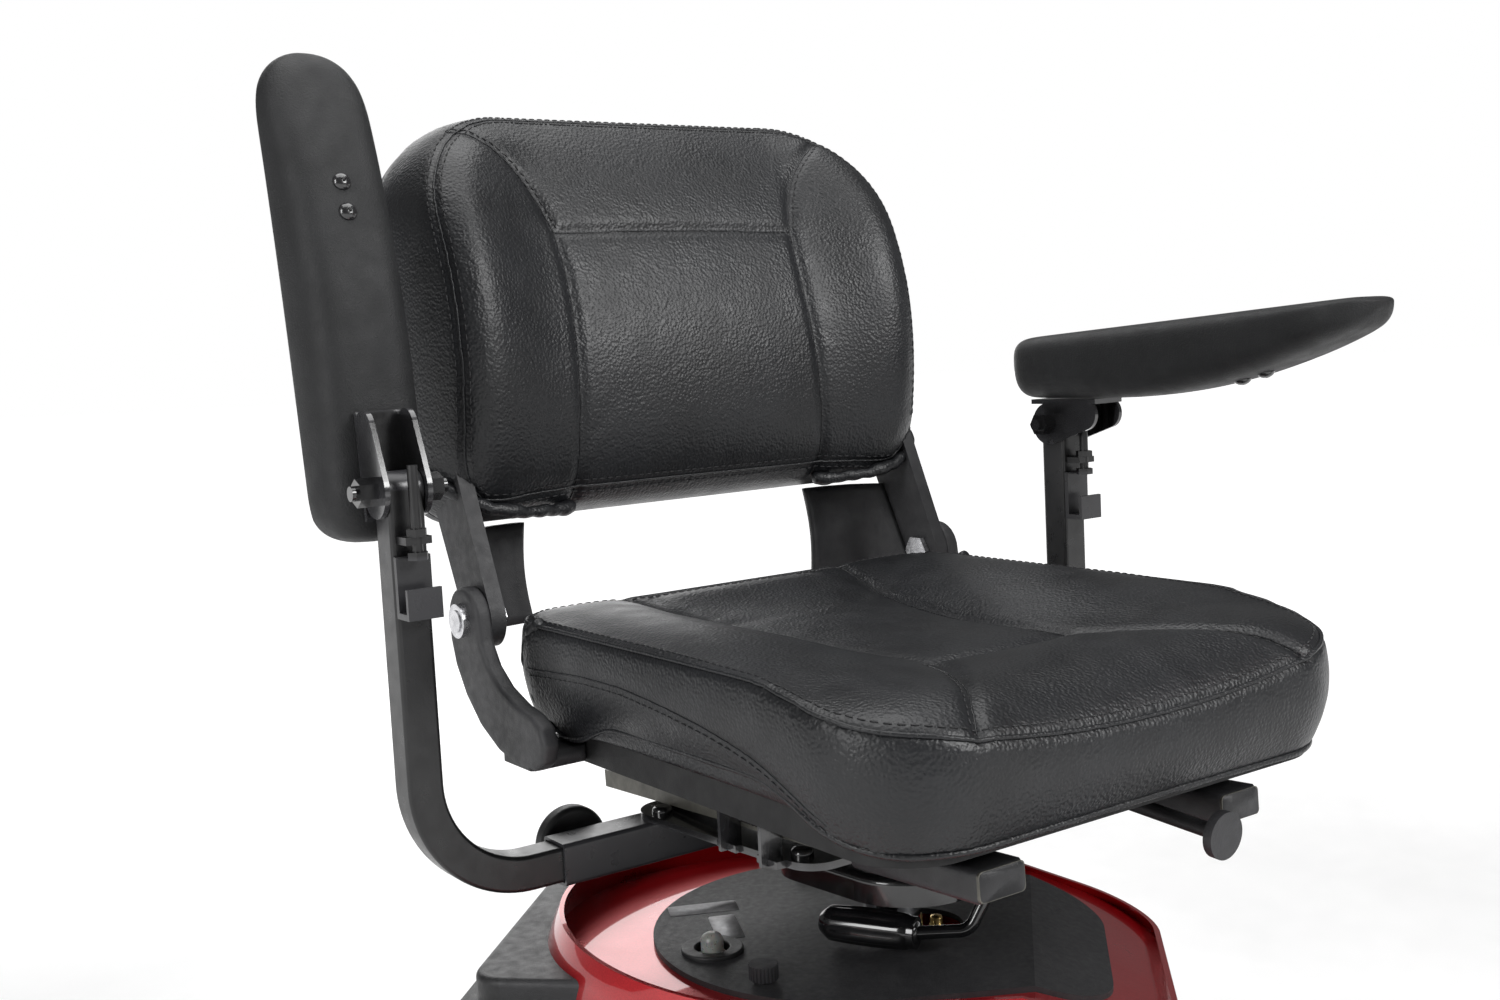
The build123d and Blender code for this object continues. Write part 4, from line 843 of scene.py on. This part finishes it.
def make_arm_pad(word, matrix):
    """Moulded pad: rounded tip and heel, softly edged top, underside in a long curve."""
    shape = Shape()
    rings = []
    length = PAD_REAR - PAD_TIP
    for share in shares((0.002, 0.06, 7), (0.09, 0.9, 26), (0.92, 0.999, 12)):
        y = PAD_REAR - share * length
        heel = np.clip(share * length / HEEL_LENGTH, 0, 1)
        tip = np.clip((1 - share) * length / TIP_LENGTH, 0, 1)
        wide = PAD_HALF * (1 - (1 - heel) ** 2.4) ** 0.42 * (1 - (1 - tip) ** 2.6) ** 0.5
        top = 74 + 19.3 * share
        low = float(pad_under(y))
        middle = mix(low, top, 0.56 + 0.12 * share)
        last = np.clip((1 - share) * length / 16, 0, 1)
        thin = (1 - (1 - last) ** 2) ** 0.5 * (1 - (1 - heel) ** 3) ** 0.4
        ring = []
        for turn in round_turns(36):
            c = math.cos(turn)
            s = math.sin(turn)
            x = math.copysign(abs(c) ** 0.46, c)
            z = math.copysign(abs(s) ** 0.56, s)
            narrow = 1 - 0.13 * max(0.0, -z) ** 1.5
            tall = (top - middle) if z > 0 else (middle - low)
            ring.append((x * wide * narrow, y, middle + z * tall * thin))
        rings.append(ring)
    shape.skin(rings)
    pad = shape.make(f"arm_pad_{word}_foam", matrix, 1)
    place(pad, f"armrest_{word}", "pad_foam", stands_for=f"arm_pad_{word}")
    screws = Shape()
    dome = Shape()
    dome.turned(SCREW_DOME, 28)
    for y in SCREWS_AT:
        slope = math.asin((PAD_LEVEL - y) / PAD_ARC)
        where = Matrix.Translation((0, y, float(pad_under(y)) + 1))
        screws.add_moved(dome, where @ Matrix.Rotation(math.pi - slope, 4, "X"))
    heads = screws.make(f"arm_pad_{word}_screws", matrix)
    place(heads, f"armrest_{word}", "gloss_steel")


# ---------------------------------------------------------------- wheels
def make_tyre(node, joint, radius, rim, width, body):
    """Solid tyre with ribs and shoulder blocks cut into its tread."""
    half = width / 2
    profile = []
    for along in np.linspace(-half + 7, half - 7, 40):
        profile.append((radius - 2.5 * (along / half) ** 4 - 0.4, along))
    for turn in np.linspace(80, -10, 7):
        a = math.radians(turn)
        profile.append((radius - 12 + 10.5 * math.sin(a), half - 9 + 9 * math.cos(a)))
    profile += [(mix(radius, rim, 0.55), half - 1.5), (rim + 8, half - 3), (rim + 0.2, half - 8)]
    profile += [(rim + 0.2, 8 - half), (rim + 8, 3 - half), (mix(radius, rim, 0.55), 1.5 - half)]
    for turn in np.linspace(-10, 80, 7):
        a = math.radians(turn)
        profile.append((radius - 12 + 10.5 * math.sin(a), -half + 9 - 9 * math.cos(a)))
    rings = []
    for k, turn in enumerate(round_turns(324)):
        ring = []
        for r, along in profile:
            if r > radius - 9:
                zig = abs(along) * 0.6 + 1.4 * abs(((k / 6) % 2) - 1)
                block = (k + int(zig)) % 9 < 2 and abs(along) > half * 0.42
                rib = abs(abs(along) - half * 0.36) < 1.6
                r = r - (3.2 if block or rib else 0)
            ring.append((r * math.cos(turn), r * math.sin(turn), along))
        rings.append(ring)
    shape = Shape()
    shape.skin(rings, closed=True)
    tyre = shape.make(node + "_tread", at_joint(joint, (0, 0, 1), (1, 0, 0)))
    place(tyre, body, "tyre", stands_for=node)


# ---------------------------------------------------------------- controls and basket
BAR_AT = 578.0
GRIP_TIP = Vector((246, 46, BAR_AT))
BAR_KNEE = Vector((118, 0, BAR_AT))
PANEL_TOP = 614.0
BASKET_LOW = 300.0
BASKET_TALL = 190.0
BASKET_BACK = -40.3
BASKET_DEEP = 170.0
BASKET_HALF_LOW = 130
BASKET_HALF_HIGH = 150
BASKET_CORNER = 24
MESH_STEP = 15
WIRE_INSET = 1.5


def make_grips():
    """Soft grips with finger ribs, a flange and a rounded end."""
    shape = Shape()
    for side in (-1, 1):
        tip = Vector((side * GRIP_TIP.x, GRIP_TIP.y, GRIP_TIP.z))
        knee = Vector((side * BAR_KNEE.x, BAR_KNEE.y, BAR_KNEE.z))
        direction = (knee - tip).normalized()
        across = direction.orthogonal()
        turn = Matrix((across.normalized(), direction.cross(across).normalized(), direction)).transposed()
        base = Matrix.Translation(tip) @ turn.to_4x4()
        profile = [(0.5, -6), (9, -5.8), (13.5, -4), (15.6, -0.5)]
        for along in np.arange(2, 98, 1.25):
            rib = 0.7 * math.sin(along * 2 * math.pi / 7.5) if 8 < along < 92 else 0
            profile.append((15.0 + rib, along))
        profile += [(15.8, 99), (15.9, 106), (15, 107.6), (11.2, 108)]
        grip = Shape()
        grip.turned(profile, 40)
        shape.add_moved(grip, base)
    place(shape.make("handle_grips_ribbed", STEER), "tiller", "grip", stands_for="handle_grips")


def make_basket():
    """Coated wire basket: rim, hoops, uprights and a crossed floor."""
    shape = Shape()
    middle = BASKET_BACK - BASKET_DEEP / 2

    def hoop(share, count=96):
        half = mix(BASKET_HALF_LOW, BASKET_HALF_HIGH, share) - WIRE_INSET
        low = middle - BASKET_DEEP / 2 + WIRE_INSET
        high = middle + BASKET_DEEP / 2 - WIRE_INSET
        flat = rounded_rectangle(half, low, high, BASKET_CORNER, BASKET_CORNER, count)
        return np.column_stack([flat, np.full(count, BASKET_LOW + 1.6 + share * (BASKET_TALL - 4.6))])

    for share in np.linspace(0, 1, 11):
        shape.tube(hoop(share), 3.0 if share == 1 else 1.3, 8, closed=True)
    for low, high in zip(hoop(0, 56), hoop(1, 56)):
        shape.tube([low, high], 1.2, 6)
    for x in np.arange(-120, 121, MESH_STEP):
        shape.tube([(x, middle - 82, BASKET_LOW + 2), (x, middle + 82, BASKET_LOW + 2)], 1.2, 6)
    for y in np.arange(middle - 75, middle + 76, MESH_STEP):
        shape.tube([(-126, y, BASKET_LOW + 3.4), (126, y, BASKET_LOW + 3.4)], 1.2, 6)
    place(shape.make("basket_wires", STEER), "basket", "basket", stands_for="basket")


def make_dial_marks():
    """Raised ticks round the speed dial, longer at every third one."""
    shape = Shape()
    centre = Vector((0, 10, PANEL_TOP + 0.35))
    for step in range(10):
        turn = math.radians(225 - 30 * step)
        ray = Vector((math.cos(turn), -math.sin(turn), 0))
        outer = 26 if step % 3 else 29
        shape.tube([centre + ray * 21.5, centre + ray * outer], 0.6, 6)
    place(shape.make("speed_dial_marks", STEER), "tiller", "dial", finish="marking")


# ---------------------------------------------------------------- swivel, latch and top plate
def make_latch_spring():
    """Open coil on the latch rod, which lies along y."""
    x = -130.0
    z = 482.0
    rod = Shape()
    rod.turned(((1.5, 0), (3.9, 1.5), (3.9, 110), (1.5, 112)), 20)
    shape = Shape()
    shape.add([(x + px, 18 - pz, z + py) for px, py, pz in rod.points], rod.faces)
    coil = []
    turns = 9
    for step in range(turns * 20 + 1):
        a = 2 * math.pi * step / 20
        coil.append((x + 6.2 * math.cos(a), -31.5 + step / (turns * 20) * 40, z + 6.2 * math.sin(a)))
    shape.tube(coil, 1.25, 8)
    spring = shape.make("latch_spring_coil", SEAT)
    place(spring, "swivel", "gloss_steel", stands_for="latch_spring")


def make_rail_caps():
    """Black plastic covers over the front ends of the upper rails."""
    shape = Shape()
    for x in (-RAIL_X, RAIL_X):
        rings = []
        for y, grow in ((-238, -1.2), (-240, 0), (-348, 0), (-351.5, -1.6)):
            flat = rounded_rectangle(18.6 + grow, -3 - grow, 17.0 + grow, 3, 3, 40)
            rings.append([(x + px, y, pz) for px, pz in flat])
        shape.skin(rings)
    place(shape.make("rail_end_caps", RAILS), "seat", "black_plastic")


WEB_OUTER = 208.4


def make_arm_webs():
    """Curved inner webs of the backrest arms, wrapped round the rear corners of the seat."""
    shape = Shape()
    section = (
        (205, 242), (191, 257), (168, 265), (147, 267), (141, 264.5), (140, 260),
        (143, 258.5), (148, 261), (168, 258.5), (187, 251), (198.5, 238),
    )
    for side in (-1, 1):
        rings = []
        for z in np.linspace(580, 659, 12):
            root = 202.7 + (z - 592.2) * 0.486
            lean = (z - 620) * 0.1
            curve = 4 * math.sin(math.pi * (z - 580) / 79)
            ring = [(side * WEB_OUTER, root, z)]
            for x, y in section:
                ring.append((side * (x + curve * (WEB_OUTER - x) / 68), y + lean * (y - 215) / 50, z))
            rings.append(ring + [(side * 203.5, root, z)])
        shape.skin(rings)
    place(shape.make("backrest_arm_webs", SEAT), "backrest", "black_plastic", finish="moulding")


def offset(outline, amount):
    """A closed outline moved inwards by an amount, along its own normals."""
    run = np.roll(outline, -1, axis=0) - np.roll(outline, 1, axis=0)
    run /= np.linalg.norm(run, axis=1, keepdims=True)
    return outline + np.column_stack([-run[:, 1], run[:, 0]]) * amount


# How far out each ring of a bracket stands, and how far its outline is drawn in there
BRACKET_EDGE = ((221.2, 1.5), (222.0, 0.4), (223.5, 0), (229.5, 0), (231.8, 0.7), (233, 2.6), (233, 6))


def make_hinge_brackets():
    """Moulded side brackets that sweep from the backrest hinge down under the seat."""
    shape = Shape()
    top = []
    for degrees in range(0, 181, 15):
        a = math.radians(degrees)
        top.append((HINGE[0] + 24 * math.cos(a), HINGE[1] + 24 * math.sin(a)))
    front = [(164, 588), (154, 573), (136, 560), (112, 551), (92, 547)]
    end = [(80, 541), (75, 529), (80, 516), (92, 509)]
    rear = [(118, 508), (146, 514), (172, 527), (193, 546), (207, 567), (213, 586)]
    outline = resample(top + front + end + rear, 150, closed=True)
    for side in (-1, 1):
        rings = []
        for x, amount in BRACKET_EDGE:
            rings.append([(side * x, y, z) for y, z in offset(outline, amount)])
        shape.skin(rings)
        foot = rounded_rectangle(27.5, -22, 22.5, 3, 3, 40)
        rings = [[(side * 210.5 + x * 0.8, 118 + y, z) for x, y in foot] for z in (508.2, 519.8)]
        shape.skin(rings)
    made = shape.make("hinge_brackets_moulded", SEAT)
    place(made, "seat", "black_plastic", finish="moulding", stands_for="hinge_brackets")


def make_lever_grip():
    """Soft grip of the swivel lever, fuller in the middle, with lengthwise flutes."""
    shape = Shape()
    start = Vector((-26, -55, 385))
    end = Vector((-60, 5.5, 385))
    direction = (end - start).normalized()
    side = direction.cross(Vector((0, 0, 1)))
    rings = []
    for share in shares((-0.02, 0.06, 5), (0.1, 0.9, 17), (0.94, 1.01, 5)):
        centre = start + (end - start) * float(share)
        full = 11.4 + 1.8 * math.sin(math.pi * np.clip(share, 0, 1)) ** 0.7
        blunt = min(1.0, 0.35 + 6 * min(share + 0.02, 1.01 - share)) ** 0.5
        depth = 0.9 * float(ramp(share, 0.08, 0.2) * (1 - ramp(share, 0.8, 0.92)))
        ring = []
        for a in round_turns(72):
            radius = full * blunt - depth * (0.5 + 0.5 * math.cos(8 * a)) ** 2
            ring.append(centre + (side * math.cos(a) + Vector((0, 0, 1)) * math.sin(a)) * radius)
        rings.append(ring)
    shape.skin(rings)
    place(shape.make("swivel_lever_grip", SEAT), "swivel_lever", "gloss_black")


COLLAR_BELOW_PLATE = 16
BOLT_AT = (0.012, -0.030, 0.353)  # in metres of the shared frame


def make_top_plate_details():
    """Two blank rating labels and the brass bolt in the post hole."""
    plate_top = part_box("breaker_collar")[0].z / MM + COLLAR_BELOW_PLATE
    labels = Shape()
    for x, y, wide, tall, turn in ((22, 144, 20, 52, 20), (-14, 120, 46, 20, 20)):
        flat = rounded_rectangle(wide / 2, -tall / 2, tall / 2, 1.5, 1.5, 40)
        a = math.radians(turn)
        flat = flat @ np.array([[math.cos(a), math.sin(a)], [-math.sin(a), math.cos(a)]]) + (x, y)
        rings = [np.column_stack([flat, np.full(40, plate_top + lift)]) for lift in (0.05, 0.4)]
        labels.skin(rings)
    place(labels.make("plate_labels", SHARED), "chassis", "steel", finish="foil")
    bolt = Shape()
    bolt.turned(((0.4, 0), (5.4, 0.2), (5.4, 12), (4.6, 12.6), (4.6, 17), (3.9, 18.6), (0.4, 19)), 28)
    where = Matrix.Translation(BOLT_AT) @ SHARED
    place(bolt.make("post_hole_bolt", where), "chassis", "steel", finish="brass")


# ---------------------------------------------------------------- stage
CAMERA_AT = (-1.1001, -0.0936, 0.7902)
CAMERA_TURN = math.radians(-79.0)
CAMERA_RISE = math.radians(5.52)
CAMERA_ROLL = math.radians(-3.03)
CAMERA_LENS = 37.75
CAMERA_SHIFT = (0.0287, -0.0013)
ROOM_LIGHT = 0.15
FLOOR_DARK = (0.84, 0.84, 0.84)
FLOOR_LIGHT = (0.88, 0.88, 0.88)
FLOOR_HALF = 30000
LIT_POINT = (0, 0, 0.65)


def make_camera():
    """The photograph's viewpoint, looking slightly down with a small roll."""
    backward = Vector((
        math.sin(CAMERA_TURN) * math.cos(CAMERA_RISE),
        -math.cos(CAMERA_TURN) * math.cos(CAMERA_RISE),
        math.sin(CAMERA_RISE),
    ))
    level = Vector((math.cos(CAMERA_TURN), math.sin(CAMERA_TURN), 0))
    up = backward.cross(level)
    right = level * math.cos(CAMERA_ROLL) + up * math.sin(CAMERA_ROLL)
    upward = up * math.cos(CAMERA_ROLL) - level * math.sin(CAMERA_ROLL)
    data = bpy.data.cameras.new("camera")
    data.lens = CAMERA_LENS
    data.shift_x, data.shift_y = CAMERA_SHIFT
    data.clip_start = 0.01
    camera = bpy.data.objects.new("camera", data)
    bpy.context.scene.collection.objects.link(camera)
    turn = Matrix((right, upward, backward)).transposed().to_4x4()
    camera.matrix_world = Matrix.Translation(CAMERA_AT) @ turn
    bpy.context.scene.camera = camera


def make_light(name, where, size, power):
    """A rectangular lamp turned towards the middle of the scooter."""
    data = bpy.data.lights.new(name, "AREA")
    data.shape = "RECTANGLE"
    data.size, data.size_y = size
    data.energy = power
    light = bpy.data.objects.new(name, data)
    bpy.context.scene.collection.objects.link(light)
    light.location = where
    light.rotation_mode = "QUATERNION"
    light.rotation_quaternion = (Vector(LIT_POINT) - Vector(where)).to_track_quat("-Z", "Y")


def make_floor_finish():
    """Pale floor that turns into plain white light further out, so no horizon shows."""
    made = Shading("floor")
    made.bump(made.noise(3), 0.05)
    away = made.node("ShaderNodeVectorMath", {0: made.place}, operation="LENGTH").outputs["Value"]
    limits = {"Value": away, "From Min": 1.3, "From Max": 3.6, "To Min": 0.10, "To Max": 1.0}
    glow = made.node("ShaderNodeMapRange", limits).outputs["Result"]
    made.shader.inputs["Emission Color"].default_value = (1, 1, 1, 1)
    made.tree.links.new(glow, made.shader.inputs["Emission Strength"])
    tone = made.blend(made.noise(300), FLOOR_DARK, FLOOR_LIGHT)
    return made.join(tone, made.spread(made.noise(40), 0.5, 0.65))


def make_studio():
    """White background for the camera, dimmer room light for the surfaces, floor and lamps."""
    world = bpy.data.worlds.new("studio")
    world.use_nodes = True
    links = world.node_tree.links
    sky = world.node_tree.nodes["Background"]
    sky.inputs["Color"].default_value = (1.0, 1.0, 1.0, 1)
    seen = world.node_tree.nodes.new("ShaderNodeLightPath").outputs["Is Camera Ray"]
    level = world.node_tree.nodes.new("ShaderNodeMapRange")
    level.inputs["To Min"].default_value = ROOM_LIGHT
    level.inputs["To Max"].default_value = 1.0
    links.new(seen, level.inputs["Value"])
    links.new(level.outputs["Result"], sky.inputs["Strength"])
    bpy.context.scene.world = world
    bpy.context.scene.view_settings.view_transform = "Standard"
    floor = Shape()
    signs = ((-1, -1), (1, -1), (1, 1), (-1, 1))
    floor.add([(x * FLOOR_HALF, y * FLOOR_HALF, 0) for x, y in signs], ((0, 1, 2, 3),))
    ground = floor.make("floor", SHARED)
    ground.data.materials.append(make_floor_finish())
    make_light("key", (-0.9, -2.6, 2.3), size=(1.3, 1.3), power=75)
    make_light("left", (-2.3, 1.6, 1.7), size=(0.8, 1.6), power=40)
    make_light("top", (0.2, 0.1, 2.9), size=(2.3, 2.3), power=52)
    make_light("rear", (2.4, 1.4, 1.6), size=(1.9, 2.0), power=28)


dress_cad_nodes()
make_camera()
make_studio()
make_seat_cushion()
make_backrest_cushion()
make_arm_pad("left", PAD_LEFT)
make_arm_pad("right", PAD_RIGHT)
for side in ("left", "right"):
    wheel = f"rear_wheel_{side}"
    make_tyre(f"rear_tyre_{side}", f"{wheel}_spin", radius=127, rim=80, width=75, body=wheel)
make_tyre("front_tyre", "front_wheel_spin", radius=115, rim=72, width=65, body="front_wheel")
make_grips()
make_basket()
make_dial_marks()
make_latch_spring()
make_lever_grip()
make_rail_caps()
make_arm_webs()
make_hinge_brackets()
make_top_plate_details()

bpy.context.view_layer.update()
